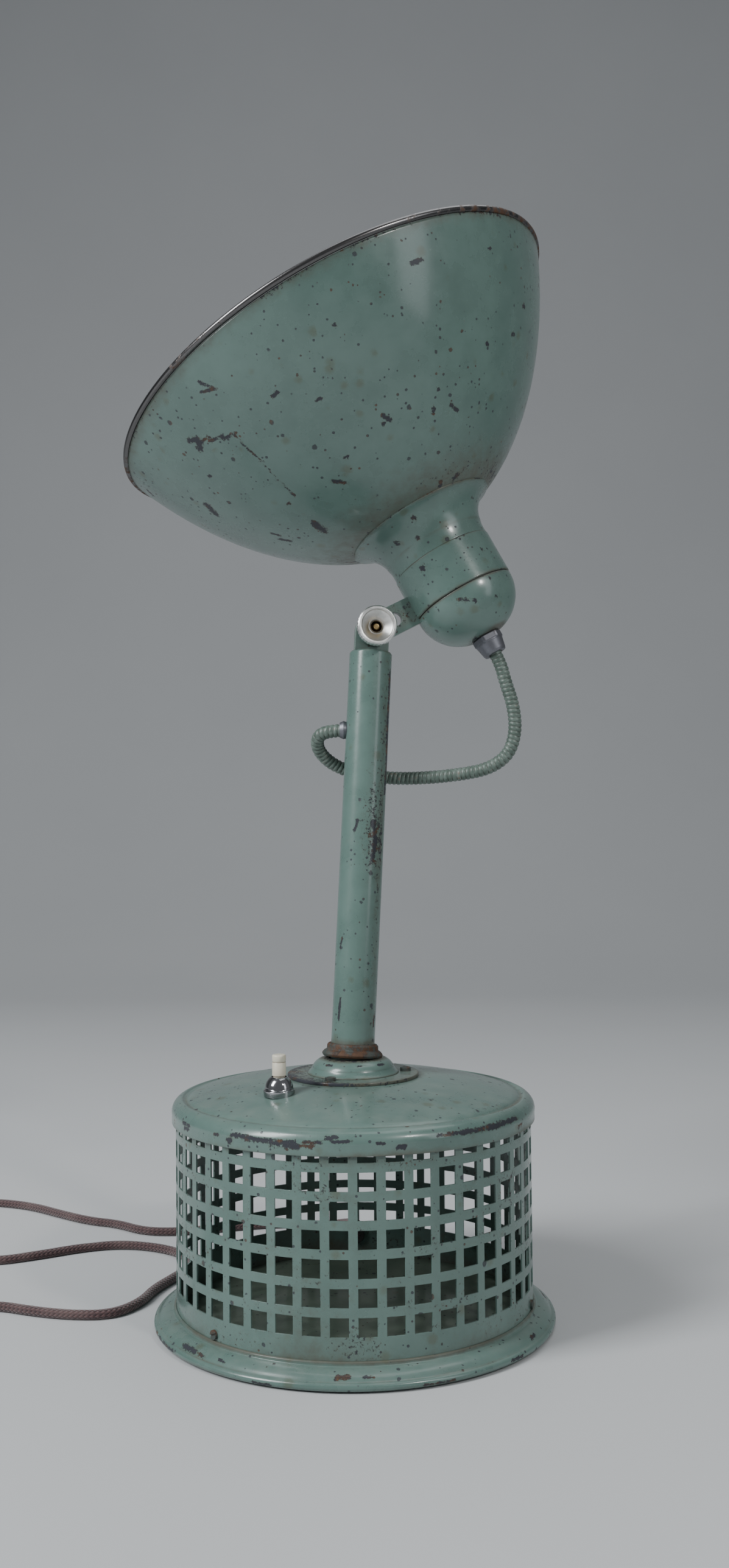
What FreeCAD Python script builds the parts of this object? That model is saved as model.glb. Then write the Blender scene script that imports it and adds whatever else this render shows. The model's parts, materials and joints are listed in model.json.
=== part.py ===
"""Vintage table-top reflector lamp: perforated drum base, leaning post, tilting bowl head.

Millimetres, +Z up.  The origin is the centre of the drum's underside, on the surface it stands on.
+X is the side the post leans to, -Y is the side with the clamp knob and the switch.
"""
import math
import os

import FreeCAD
import Part
from FreeCAD import Vector as V

# ---------------------------------------------------------------- driving dimensions
# drum base
DRUM_R = 105.0              # outside radius of the perforated sheet
SHEET = 1.0                 # sheet thickness of drum, cover and skirt
HOLE = 10.0                 # side of a square hole
PITCH = 15.0                # centre distance of the holes
COLUMNS = 44                # holes round the drum
ROWS = 7                    # rows of holes
FIRST_ROW_Z = 29.3          # centre height of the lowest row
COLUMN_STEP = 360.0 / COLUMNS
COLUMN_OFFSET = -3.95       # angle of one column from the front, degrees
PANEL_COLUMNS = 4           # columns in one panel of the drum
SKIRT_R = 117.9             # widest radius of the foot skirt, at its rolled edge
SKIRT_TOP_Z = 10.3          # where the skirt meets the drum
SCREW_Z = 15.4              # skirt screws, just above the joint
FLOOR_Z = 3.0               # underside of the floor plate
# cover
LIP_R = 107.2               # outside radius of the cover's lip
LIP_LOW_Z = 118.0
LIP_TOP_Z = 125.0
SHOULDER_R, SHOULDER_Z = 102.0, 131.7
CREASE_R, CREASE_Z = 98.0, 131.2
COVER_TOP_Z = 142.0         # flat seat under the flange
COVER_SEAT_R = 38.0
# flange, hub, post
FLANGE_R, FLANGE_T = 39.0, 1.8
HUB_R = 31.0
HUB_DOME_R = 21.5
HUB_TOP_Z = 153.0
COLLAR_TOP_Z = 161.0
POST_R = 13.0
POST_WALL = 1.5
POST_LENGTH = 236.5         # from the collar's top plane to the tube's end
LEAN_RIGHT = 3.15           # degrees towards +X
LEAN_BACK = 3.5             # degrees towards +Y
# fork, bolt and knob
PIVOT_UP = 249.0            # from the collar's top plane, along the post
KNOB_TURN = 8.0             # the bolt's head end points this far towards -X, degrees
EAR_W, EAR_T = 21.0, 5.0
BOLT_R = 3.0
KNOB_R = 12.0
KNOB_LENGTH = 15.0
GRIP_GROOVES = 24
STUD_SUNK = 3.2             # the stud ends this far inside the knob's face
# head
TILT_AXIS = (-0.46858, 0.09748, 0.87803)   # direction the bowl faces
AXIS_OUT = 60.0             # pivot to the head's axis, across it
AXIS_FORWARD = 6.0          # head's axis in front of the post's axis
RIM_UP = 162.4              # pivot to the rim plane, along the head's axis
BOWL_R = 146.6              # outside radius of the bowl at its mouth
BOWL_A, BOWL_B = 128.9, 0.342              # conic: r^2 = R^2 - A s - B s^2
BOWL_END = 119.6            # depth of the bowl's opening for the fitter
BEAD_R = 1.9
FITTER_R, FITTER_S = 46.9, 114.3
NECK_R = 31.6
NECK_START_S = 134.0
SEAM_S = 169.6
CAP_SEAT_S = SEAM_S + 0.6
CAP_DEPTH = 27.5
GLAND_S = CAP_SEAT_S + CAP_DEPTH
GLAND_LENGTH = 12.5
ARM_W, ARM_T = 18.0, 5.0
ARM_HOLE_R = 4.2
# conduit, cord, switch
CONDUIT_R = 4.1
BUSHING_R = 5.0
CORD_R = 2.9
SWITCH_X, SWITCH_Y = -41.3, -46.0
CORD_EXIT_Z = 18.4          # in the plain band below the first row of holes
CORD_HOLE_R = 4.4
SCREW_SHANK_R = 1.5
PAD_R, PAD_AT_R = 8.0, 92.0
CENTRE_PAD_R = 40.0
SCREW_ANGLES = (-46.0, 74.0, 194.0)        # skirt screws, from the front
FLANGE_SCREW_ANGLES = (-24.0, 96.0, 216.0)
GAP = 0.3                   # clearance between parts that move past each other

os.makedirs("parts", exist_ok=True)
volumes = {}


# ---------------------------------------------------------------- helpers
def save(name, shape):
    """Write one node, and stop if its solid is not sound."""
    solids = shape.Solids
    if not solids or not shape.isValid():
        raise SystemExit("bad shape: " + name)
    if len(solids) != 1 or shape.Volume <= 0:
        raise SystemExit("%s: %d solids, volume %.1f" % (name, len(solids), shape.Volume))
    shape = solids[0]
    volumes[name] = shape.Volume
    shape.exportStep("parts/" + name + ".step")


def unit(v):
    v = V(v)
    return v.multiply(1.0 / v.Length)


def revolve(points):
    """Full revolution about Z of a closed outline of (radius, height) points and arc mid-points."""
    edges = []
    flat = [V(p[0], 0, p[1]) for p in points]
    i = 0
    count = len(points)
    while i < count:
        nxt = (i + 1) % count
        if len(points[nxt]) == 3:
            after = (i + 2) % count
            edges.append(Part.Arc(flat[i], flat[nxt], flat[after]).toShape())
            i += 2
        else:
            edges.append(Part.LineSegment(flat[i], flat[nxt]).toShape())
            i += 1
    face = Part.Face(Part.Wire(edges))
    solid = face.revolve(V(0, 0, 0), V(0, 0, 1), 360)
    if solid.Volume < 0:
        solid.reverse()
    return solid


def cylinder(r, h, at, direction=V(0, 0, 1)):
    return Part.makeCylinder(r, h, at, direction)


def frame_matrix(origin, x_dir, y_dir, z_dir):
    """Matrix that carries a shape built on the row axes into a tilted frame."""
    return FreeCAD.Matrix(
        x_dir.x, y_dir.x, z_dir.x, origin.x,
        x_dir.y, y_dir.y, z_dir.y, origin.y,
        x_dir.z, y_dir.z, z_dir.z, origin.z,
        0, 0, 0, 1)


def moved(shape, matrix):
    """Rigid move, which keeps planes and cylinders exact."""
    copy = shape.copy()
    copy.Placement = FreeCAD.Placement(matrix).multiply(copy.Placement)
    return copy


def tube(name, points, radius):
    """Round cord along straight runs joined by arcs tangent to both runs."""
    pts = [V(*p) for p in points]
    edges = []
    radii = []
    start = pts[0]
    length = 0.0
    for i in range(1, len(pts) - 1):
        a, b, c = pts[i - 1], pts[i], pts[i + 1]
        u, w = unit(b.sub(a)), unit(c.sub(b))
        turn = math.acos(max(-1.0, min(1.0, u.dot(w))))
        run = min(b.sub(a).Length, c.sub(b).Length)
        reach = 0.45 * run
        bend = reach / math.tan(turn / 2)
        radii.append(bend)
        p0 = b.sub(V(u).multiply(reach))
        p1 = b.add(V(w).multiply(reach))
        inward = unit(V(w).sub(u))
        centre = b.add(V(inward).multiply(bend / math.cos(turn / 2)))
        middle = centre.sub(V(inward).multiply(bend))
        edges.append(Part.LineSegment(start, p0).toShape())
        edges.append(Part.Arc(p0, middle, p1).toShape())
        length += start.distanceToPoint(p0) + bend * turn
        start = p1
    edges.append(Part.LineSegment(start, pts[-1]).toShape())
    length += start.distanceToPoint(pts[-1])
    path = Part.Wire(edges)
    ring = Part.Wire([Part.Circle(pts[0], unit(pts[1].sub(pts[0])), radius).toShape()])
    solid = path.makePipeShell([ring], True, False)
    ratio = solid.Volume / (math.pi * radius ** 2 * length)
    print("%s: length %.0f mm, volume ratio %.3f, smallest radius %.1f (%.1f diameters)" % (
        name, length, ratio, min(radii), min(radii) / (2 * radius)))
    print("   radii", [round(r) for r in radii])
    return solid


def screw(at, direction, head_r, head_h, shank_r, shank_l):
    """Cheese-head screw with a slot; the head stands out along direction."""
    out = unit(direction)
    head = cylinder(head_r, head_h, at, out)
    head = head.fuse(cylinder(shank_r, shank_l, at.sub(V(out).multiply(shank_l)), out)).removeSplitter()
    side = unit(out.cross(V(0, 0, 1)) if abs(out.z) < 0.9 else V(1, 0, 0))
    up = out.cross(side)
    slot = Part.makeBox(2 * head_r + 2, 0.8, head_h * 0.5 + 1)
    slot.translate(V(-head_r - 1, -0.4, 0))
    slot = moved(slot, frame_matrix(at.add(V(out).multiply(head_h * 0.5)), side, up, out))
    return head.cut(slot)


def polar(radius, degrees, z):
    """Point at an angle from the front (-Y), turning towards +X."""
    t = math.radians(degrees)
    return V(radius * math.sin(t), -radius * math.cos(t), z)


# ---------------------------------------------------------------- frames
post_foot = V(0, 0, COLLAR_TOP_Z)
post_dir = unit(V(math.tan(math.radians(LEAN_RIGHT)), math.tan(math.radians(LEAN_BACK)), 1))
bolt_flat = V(-math.sin(math.radians(KNOB_TURN)), math.cos(math.radians(KNOB_TURN)), 0)
bolt_dir = unit(bolt_flat.sub(V(post_dir).multiply(bolt_flat.dot(post_dir))))     # points backwards
fork_x = bolt_dir.cross(post_dir)
pivot = post_foot.add(V(post_dir).multiply(PIVOT_UP))
post_frame = frame_matrix(post_foot, fork_x, bolt_dir, post_dir)
pivot_frame = frame_matrix(pivot, fork_x, bolt_dir, post_dir)

face_dir = unit(V(*TILT_AXIS))
head_x = unit(bolt_dir.cross(face_dir))
head_y = face_dir.cross(head_x)
rim_centre = (pivot.add(V(head_x).multiply(AXIS_OUT)).add(V(face_dir).multiply(RIM_UP))
              .sub(V(head_y).multiply(AXIS_FORWARD)))
# head shapes are built with the depth s from the rim pointing along -Z
head_frame = frame_matrix(rim_centre, head_x, head_y, face_dir)
# the arm lies square to the bolt, so it has its own frame at the pivot
arm_z = unit(head_x.cross(bolt_dir))
arm_frame = frame_matrix(pivot, bolt_dir.cross(arm_z), bolt_dir, arm_z)


def bowl_radius(s):
    """Radius of the bowl's outside at depth s below the rim."""
    return math.sqrt(BOWL_R ** 2 - BOWL_A * s - BOWL_B * s * s)


# ---------------------------------------------------------------- base
def foot_skirt():
    edge_z = 3.6
    outline = [
        (DRUM_R + 0.05, SKIRT_TOP_Z + 2.2), (DRUM_R + 1.2, SKIRT_TOP_Z + 1.6),
        (DRUM_R + 1.6, SKIRT_TOP_Z), (111.5, 8.9, "arc"), (115.2, 6.0), (116.0, 5.3),
        (SKIRT_R, edge_z, "arc"), (115.8, 0.9), (114.6, 1.2), (114.6, 4.3), (114.0, 5.3),
        (110.8, 7.6, "arc"), (DRUM_R + 0.6, SKIRT_TOP_Z - 1.0), (DRUM_R + 0.05, SKIRT_TOP_Z - 1.0)]
    return revolve(outline)


def drum_panels():
    """The perforated sheet, in butt-jointed panels of four columns each."""
    low, high = FLOOR_Z, LIP_TOP_Z - 0.5
    shell = revolve([(DRUM_R - SHEET, low), (DRUM_R, low), (DRUM_R, high), (DRUM_R - SHEET, high)])
    cutters = [cylinder(CORD_HOLE_R, 20, V(0, DRUM_R - 10, CORD_EXIT_Z), V(0, 1, 0))]
    for angle in SCREW_ANGLES:
        cutters.append(cylinder(SCREW_SHANK_R, 12, polar(DRUM_R - 6, angle, SCREW_Z), polar(1, angle, 0)))
    for column in range(COLUMNS):
        for row in range(ROWS):
            piece = Part.makeBox(HOLE, 12, HOLE)
            piece.translate(V(-HOLE / 2, -DRUM_R - 6, FIRST_ROW_Z + row * PITCH - HOLE / 2))
            piece.rotate(V(0, 0, 0), V(0, 0, 1), COLUMN_OFFSET + column * COLUMN_STEP)
            cutters.append(piece)
    shell = shell.cut(Part.makeCompound(cutters))
    for panel in range(COLUMNS // PANEL_COLUMNS):
        start = COLUMN_OFFSET + (panel * PANEL_COLUMNS - 0.5) * COLUMN_STEP
        end = start + PANEL_COLUMNS * COLUMN_STEP
        corners = [V(0, 0, 0), polar(2 * DRUM_R, start, 0), polar(2 * DRUM_R, end, 0)]
        wedge = Part.Face(Part.makePolygon(corners + corners[:1])).extrude(V(0, 0, LIP_TOP_Z))
        save("drum_panel_%02d" % (panel + 1), shell.common(wedge))


def dome_arc():
    """Outer outline of the cover's dome: end, mid-point and end of one arc."""
    return (CREASE_R - 1, CREASE_Z + 0.7), (69.5, 138.1), (COVER_SEAT_R, COVER_TOP_Z)


def dome_height(radius):
    """Height of the dome's outside at a distance from the axis."""
    arc = Part.Arc(*[V(r, 0, z) for r, z in dome_arc()])
    line = Part.LineSegment(V(radius, 0, 100), V(radius, 0, 200))
    hit = line.toShape().distToShape(arc.toShape())[1][0][0]
    return hit.z


def base_cover():
    """Pressed lid: lip over the drum, rounded shoulder, crease, shallow dome, flat seat."""
    t = SHEET
    low, middle, high = dome_arc()
    outline = [
        (LIP_R, LIP_LOW_Z), (LIP_R, LIP_TOP_Z), (105.6, 130.4, "arc"), (SHOULDER_R, SHOULDER_Z),
        (CREASE_R + 1.4, CREASE_Z + 0.1, "arc"), low,
        (middle[0], middle[1], "arc"), high, (14.0, COVER_TOP_Z), (14.0, COVER_TOP_Z - t),
        (high[0], high[1] - t), (middle[0], middle[1] - t, "arc"), (low[0], low[1] - t),
        (CREASE_R + 1.4, CREASE_Z + 0.1 - t, "arc"), (SHOULDER_R, SHOULDER_Z - t),
        (104.5, 129.5, "arc"), (LIP_R - t, LIP_TOP_Z), (LIP_R - t, LIP_LOW_Z)]
    holes = [cylinder(5.2, 30, V(SWITCH_X, SWITCH_Y, 120))]
    for angle in FLANGE_SCREW_ANGLES:
        holes.append(cylinder(1.85, 30, polar(31.5, angle, 125)))
    return revolve(outline).cut(Part.makeCompound(holes))


def floor_plate():
    plate = cylinder(DRUM_R - SHEET - 0.1, 1.5, V(0, 0, FLOOR_Z))
    return plate


def switch_parts():
    base_z = dome_height(V(SWITCH_X, SWITCH_Y, 0).Length)
    nut_h, nut_r = 8.6, 8.9
    dome = revolve([(4.3, 0), (nut_r, 0), (nut_r, 1.2), (nut_r - 0.9, 1.8), (7.0, 5.9, "arc"), (4.6, nut_h),
                    (4.3, nut_h)])
    dome.translate(V(SWITCH_X, SWITCH_Y, base_z + 1.5))
    save("switch_dome_nut", dome)
    body = cylinder(9.5, 24, V(SWITCH_X, SWITCH_Y, base_z - 28))
    body = body.fuse(cylinder(4.2, 9.6, V(SWITCH_X, SWITCH_Y, base_z - 4))).removeSplitter()
    body = body.cut(cylinder(3.6, 12, V(SWITCH_X, SWITCH_Y, base_z - 6)))
    save("switch_body", body)
    button = revolve([(0, 0), (3.35, 0), (3.35, 8.5), (3.9, 9.0), (3.9, 20.2), (3.3, 20.9), (0, 20.9)])
    # the wide part stands above the nut; the thin stem slides in the switch's collar
    button.translate(V(SWITCH_X, SWITCH_Y, base_z + 1.6))
    save("switch_button", button)


# ---------------------------------------------------------------- flange, hub, post
def hub_parts():
    flange_z = COVER_TOP_Z
    flange = cylinder(FLANGE_R, FLANGE_T, V(0, 0, flange_z)).cut(cylinder(14.5, 10, V(0, 0, flange_z - 4)))
    for i, angle in enumerate(FLANGE_SCREW_ANGLES):
        at = polar(31.5, angle, flange_z + FLANGE_T)
        one = screw(at, V(0, 0, 1), 3.2, 2.2, 1.8, 6)
        flange = flange.cut(cylinder(1.8, 10, at.sub(V(0, 0, 6))))
        save("flange_screw_%d" % (i + 1), one)
    save("post_flange", flange)
    top = flange_z + FLANGE_T
    hub = revolve([(14.4, top), (27.2, top), (25.4, top + 1.6, "arc"), (24.4, top + 3.4),
                   (HUB_DOME_R, top + 6.8, "arc"), (16.6, HUB_TOP_Z), (14.4, HUB_TOP_Z)])
    save("post_hub", hub)
    collar = revolve([(13.05, -8.4), (18.6, -6.6), (13.9, -0.6), (13.9, 0), (13.05, 0)])
    save("hub_collar", moved(collar, post_frame).cut(hub))


def post_parts():
    sunk = 15.0
    outline = [(POST_R - POST_WALL, -sunk), (POST_R, -sunk), (POST_R, POST_LENGTH - 1.2),
               (POST_R - 0.9, POST_LENGTH), (POST_R - POST_WALL, POST_LENGTH)]
    post = moved(revolve(outline), post_frame)
    post = post.cut(conduit_hole())
    save("post_tube", post)
    nut = Part.makePolygon([V(18 * math.cos(math.radians(a)), 18 * math.sin(math.radians(a)), -sunk - 13)
                            for a in range(0, 361, 60)])
    nut = Part.Face(nut).extrude(V(0, 0, 6)).cut(cylinder(9.0, 20, V(0, 0, -sunk - 18)))
    save("post_lock_nut", moved(nut, post_frame))
    nipple = cylinder(9.0, 24.0, V(0, 0, -sunk - 17)).cut(cylinder(6.5, 40, V(0, 0, -sunk - 20)))
    flare = revolve([(9.0, -sunk), (11.5, -sunk), (11.5, -sunk + 7), (9.0, -sunk + 7)])
    save("post_nipple", moved(nipple.fuse(flare).removeSplitter(), post_frame))


def conduit_hole():
    entry = conduit_route()[-1]
    return cylinder(BUSHING_R, 24, V(entry[0] - 14, entry[1], entry[2]), V(1, 0, 0))


def fork_parts():
    """Solid plug in the post's end with one flat ear, the bolt, the washer and the knob."""
    drop = PIVOT_UP - POST_LENGTH
    ear = Part.makeBox(EAR_W, EAR_T, drop, V(-EAR_W / 2, -EAR_T / 2, -drop))
    ear = ear.fuse(cylinder(EAR_W / 2, EAR_T, V(0, -EAR_T / 2, 0), V(0, 1, 0)))
    fork = ear.fuse(cylinder(POST_R - POST_WALL - 0.02, 24, V(0, 0, -drop - 24))).removeSplitter()
    fork = fork.cut(cylinder(BOLT_R + 0.05, 40, V(0, -20, 0), V(0, 1, 0)))
    save("post_ear", moved(fork, pivot_frame))
    half = EAR_T / 2
    front = -half - GAP - ARM_T - GAP
    tip = front - KNOB_LENGTH + STUD_SUNK
    bolt = cylinder(BOLT_R, half + 2.0 - tip, V(0, tip, 0), V(0, 1, 0))
    hexagon = Part.makePolygon([V(5.8 * math.cos(math.radians(a)), half, 5.8 * math.sin(math.radians(a)))
                                for a in range(0, 361, 60)])
    head = Part.Face(hexagon).extrude(V(0, 4.2, 0))
    save("pivot_bolt", moved(bolt.fuse(head).removeSplitter(), pivot_frame))
    washer = cylinder(7.5, 1.2, V(0, front - 1.2, 0), V(0, 1, 0)).cut(
        cylinder(BOLT_R + 0.05, 20, V(0, front - 10, 0), V(0, 1, 0)))
    save("knob_washer", moved(washer, pivot_frame))
    back = KNOB_LENGTH
    outline = [(BOLT_R + 0.05, 6.0), (5.4, 6.0), (9.4, 1.0), (10.0, 0.0), (11.4, 0.0), (KNOB_R, 0.8),
               (KNOB_R, 5.5), (9.2, back - 1.0), (8.6, back), (BOLT_R + 0.05, back)]
    knob = revolve(outline)
    knob.rotate(V(0, 0, 0), V(1, 0, 0), -90)
    knob.translate(V(0, front - 1.2 - GAP - KNOB_LENGTH, 0))
    grooves = []
    for i in range(GRIP_GROOVES):
        t = i * 2 * math.pi / GRIP_GROOVES
        at = V(12.3 * math.cos(t), front - 1.5 - GAP - KNOB_LENGTH, 12.3 * math.sin(t))
        grooves.append(cylinder(0.7, 7, at, V(0, 1, 0)))
    knob = knob.cut(Part.makeCompound(grooves))
    save("clamp_knob", moved(knob, pivot_frame))


# ---------------------------------------------------------------- head
def arm():
    reach = AXIS_OUT - NECK_R + 6.0
    y0 = -EAR_T / 2 - GAP - ARM_T
    bar = Part.makeBox(reach, ARM_T, ARM_W, V(0, y0, -ARM_W / 2))
    bar = bar.fuse(cylinder(ARM_W / 2, ARM_T, V(0, y0, 0), V(0, 1, 0))).removeSplitter()
    bar = bar.cut(cylinder(BOLT_R + 0.05, 30, V(0, -20, 0), V(0, 1, 0)))
    bar = bar.cut(cylinder(ARM_HOLE_R, 30, V(15.0, -20, 0), V(0, 1, 0)))
    bar = moved(bar, arm_frame).cut(moved(cylinder(NECK_R, 60, V(0, 0, -SEAM_S - 8)), head_frame))
    return bar.cut(moved(cylinder(NECK_R + 3, 20, V(0, 0, -SEAM_S - 20 + 0.2)), head_frame))


def bowl_profile(inset, first, last, count):
    """Points of the conic outline, moved inwards by inset along the surface's normal."""
    points = []
    for i in range(count + 1):
        s = first + (last - first) * i / count
        r = bowl_radius(s)
        slope = -(BOWL_A + 2 * BOWL_B * s) / (2 * r)
        size = math.hypot(1, slope)
        points.append(V(r - inset / size, 0, -(s + inset * slope / size)))
    return points


def head_parts():
    start = 2 * BEAD_R + 0.35
    outer = Part.BSplineCurve()
    outer.interpolate(bowl_profile(0.0, start, BOWL_END, 8))
    inner = Part.BSplineCurve()
    inner.interpolate(bowl_profile(SHEET, start, BOWL_END, 8))
    a, b = outer.StartPoint, outer.EndPoint
    c, d = inner.StartPoint, inner.EndPoint
    wire = Part.Wire([outer.toShape(), Part.LineSegment(b, d).toShape(), inner.toShape(),
                      Part.LineSegment(c, a).toShape()])
    bowl = Part.Face(wire).revolve(V(0, 0, 0), V(0, 0, 1), 360)
    save("bowl", moved(bowl, head_frame))
    bead = Part.makeTorus(bowl_radius(start), BEAD_R, V(0, 0, -BEAD_R))
    save("bowl_rim_bead", moved(bead, head_frame))

    wall = 1.6
    fitter = revolve([
        (FITTER_R, -FITTER_S), (FITTER_R, -FITTER_S - 1.7), (37.2, -(FITTER_S + 8.3), "arc"),
        (NECK_R, -NECK_START_S), (NECK_R, -NECK_START_S - 8), (NECK_R - wall, -NECK_START_S - 8),
        (NECK_R - wall, -FITTER_S - 11.0), (FITTER_R - 9, -FITTER_S - 6.6), (FITTER_R - 9, -FITTER_S - 3.5)])
    fitter = fitter.cut(bowl)
    fitter = max(fitter.Solids, key=lambda solid: solid.Volume)
    save("bowl_fitter", moved(fitter, head_frame))
    neck = revolve([
        (NECK_R + 0.5, -NECK_START_S - 8), (NECK_R + 0.5, -SEAM_S + 0.4), (NECK_R, -SEAM_S),
        (NECK_R - wall, -SEAM_S), (NECK_R - wall, -NECK_START_S - 8)])
    save("neck_housing", moved(neck, head_frame).cut(moved(arm_envelope(), arm_frame)))
    save("head_arm", arm())

    cap_outer = NECK_R + 0.3
    seat = CAP_SEAT_S
    cap = revolve([
        (cap_outer, -seat), (cap_outer, -seat - 1.0), (cap_outer * 0.74, -seat - CAP_DEPTH * 0.74, "arc"),
        (10.0, -seat - CAP_DEPTH), (5.0, -seat - CAP_DEPTH), (5.0, -seat - CAP_DEPTH + 1.6),
        (9.4, -seat - CAP_DEPTH + 1.6), (cap_outer * 0.74 - 1.3, -seat - CAP_DEPTH * 0.74 + 1.2, "arc"),
        (cap_outer - 1.6, -seat - 1.0), (cap_outer - 1.6, -seat)])
    save("neck_end_cap", moved(cap, head_frame))
    rim = revolve([(NECK_R - 0.2, -SEAM_S), (NECK_R - 0.2, -seat), (NECK_R - 4.0, -seat),
                   (NECK_R - 4.0, -SEAM_S + 6), (NECK_R - 1.65, -SEAM_S + 6), (NECK_R - 1.65, -SEAM_S)])
    save("cap_spigot_ring", moved(rim, head_frame))
    gland = revolve([(CONDUIT_R + 0.05, -GLAND_S), (9.6, -GLAND_S), (9.6, -GLAND_S - 4.0),
                     (7.2, -GLAND_S - GLAND_LENGTH), (CONDUIT_R + 0.05, -GLAND_S - GLAND_LENGTH)])
    save("cable_gland", moved(gland, head_frame))

    holder = revolve([(0, -150), (21, -150), (21, -120), (24.5, -118), (24.5, -98), (22.5, -96), (18.0, -96),
                      (18.0, -120), (0, -120)])
    save("lamp_holder", moved(holder, head_frame))
    bracket = revolve([(21.05, -150), (29.9, -150), (29.9, -147.5), (21.05, -147.5)])
    save("lamp_holder_plate", moved(bracket, head_frame))
    screw_base = cylinder(13.2, 26, V(0, 0, -119.8)).cut(cylinder(11.5, 20, V(0, 0, -110)))
    save("bulb_screw_base", moved(screw_base, head_frame))
    save_bulb_glass()


def save_bulb_glass():
    """Globe bulb: a ball on a tapered neck."""
    ball_r, ball_s = 37.0, 42.0
    quarter, low = math.radians(55), math.radians(125)
    outline = [
        (0, ball_r - ball_s), (ball_r * math.sin(quarter), ball_r * math.cos(quarter) - ball_s, "arc"),
        (ball_r * math.sin(low), ball_r * math.cos(low) - ball_s), (19.5, -77.5, "arc"), (13.0, -90.0),
        (13.0, -93.6), (0, -93.6)]
    bulb = revolve(outline)
    save("bulb_glass", moved(bulb, head_frame))


def arm_envelope():
    """Space that the arm's end takes in the neck's wall."""
    return Part.makeBox(AXIS_OUT, ARM_T, ARM_W, V(0, -EAR_T / 2 - GAP - ARM_T, -ARM_W / 2))


# ---------------------------------------------------------------- conduit and cord
def conduit_route():
    """From the gland down, round behind the post, and into the post's side."""
    tip = rim_centre.sub(V(face_dir).multiply(GLAND_S + 1))
    out = rim_centre.sub(V(face_dir).multiply(GLAND_S + GLAND_LENGTH + 5))
    return [
        tuple(tip), tuple(out), (94.8, 12.6, 378.0), (99.6, 12.6, 363.5), (101.0, 12.8, 348.0),
        (97.0, 13.4, 333.6), (85.0, 14.6, 324.8), (68.0, 17.6, 321.6), (48.0, 22.4, 319.8),
        (28.0, 27.4, 319.6), (8.0, 30.4, 321.8), (-10.0, 29.0, 327.6), (-20.4, 23.4, 337.0),
        (-20.4, 15.6, 346.4), (-10.0, 12.0, 349.0), (5.0, 12.0, 349.0)]


CORD_POINTS = [
    (0.0, 101.0, CORD_EXIT_Z), (0.0, 132.0, CORD_EXIT_Z), (-6.0, 161.0, 10.5), (-24.0, 181.0, CORD_R),
    (-50.0, 187.0, CORD_R), (-78.0, 183.0, CORD_R), (-106.0, 174.0, CORD_R), (-131.0, 168.0, CORD_R),
    (-153.0, 171.0, CORD_R),
    (-174.0, 190.0, CORD_R), (-196.0, 198.0, CORD_R), (-222.0, 218.0, CORD_R), (-248.0, 240.0, CORD_R),
    (-276.0, 252.0, CORD_R), (-302.0, 254.0, CORD_R), (-322.0, 240.0, CORD_R), (-328.0, 212.0, CORD_R),
    (-318.0, 178.0, CORD_R), (-296.0, 146.0, CORD_R), (-272.0, 116.0, CORD_R), (-244.0, 101.0, CORD_R),
    (-214.0, 116.0, CORD_R), (-190.0, 131.0, CORD_R), (-164.0, 139.0, CORD_R), (-138.0, 132.0, CORD_R),
    (-117.0, 116.0, CORD_R), (-107.0, 93.0, CORD_R), (-115.0, 68.0, CORD_R), (-126.0, 42.0, CORD_R),
    (-130.0, 18.0, CORD_R), (-144.0, -3.0, CORD_R), (-168.0, -3.0, CORD_R), (-192.0, 4.0, CORD_R),
    (-216.0, 15.0, CORD_R), (-240.0, 14.0, CORD_R), (-262.0, 5.0, CORD_R), (-284.0, 0.3, CORD_R)]
COIL_X, COIL_Y = -284.0, -38.0
COIL_MEAN_R = 32.0
COIL_BAND = 17.4            # three turns side by side
COIL_HEIGHT = 10.9          # two layers
PLUG_R = 9.0
PLUG_X, PLUG_Y = -314.0, -104.0
TAIL_POINTS = [
    (-319.0, -42.0, 8.0), (-319.2, -59.0, 6.6), (-317.5, -76.0, 6.4), (-315.0, -92.0, 8.2),
    (-314.0, -106.0, PLUG_R)]


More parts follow.
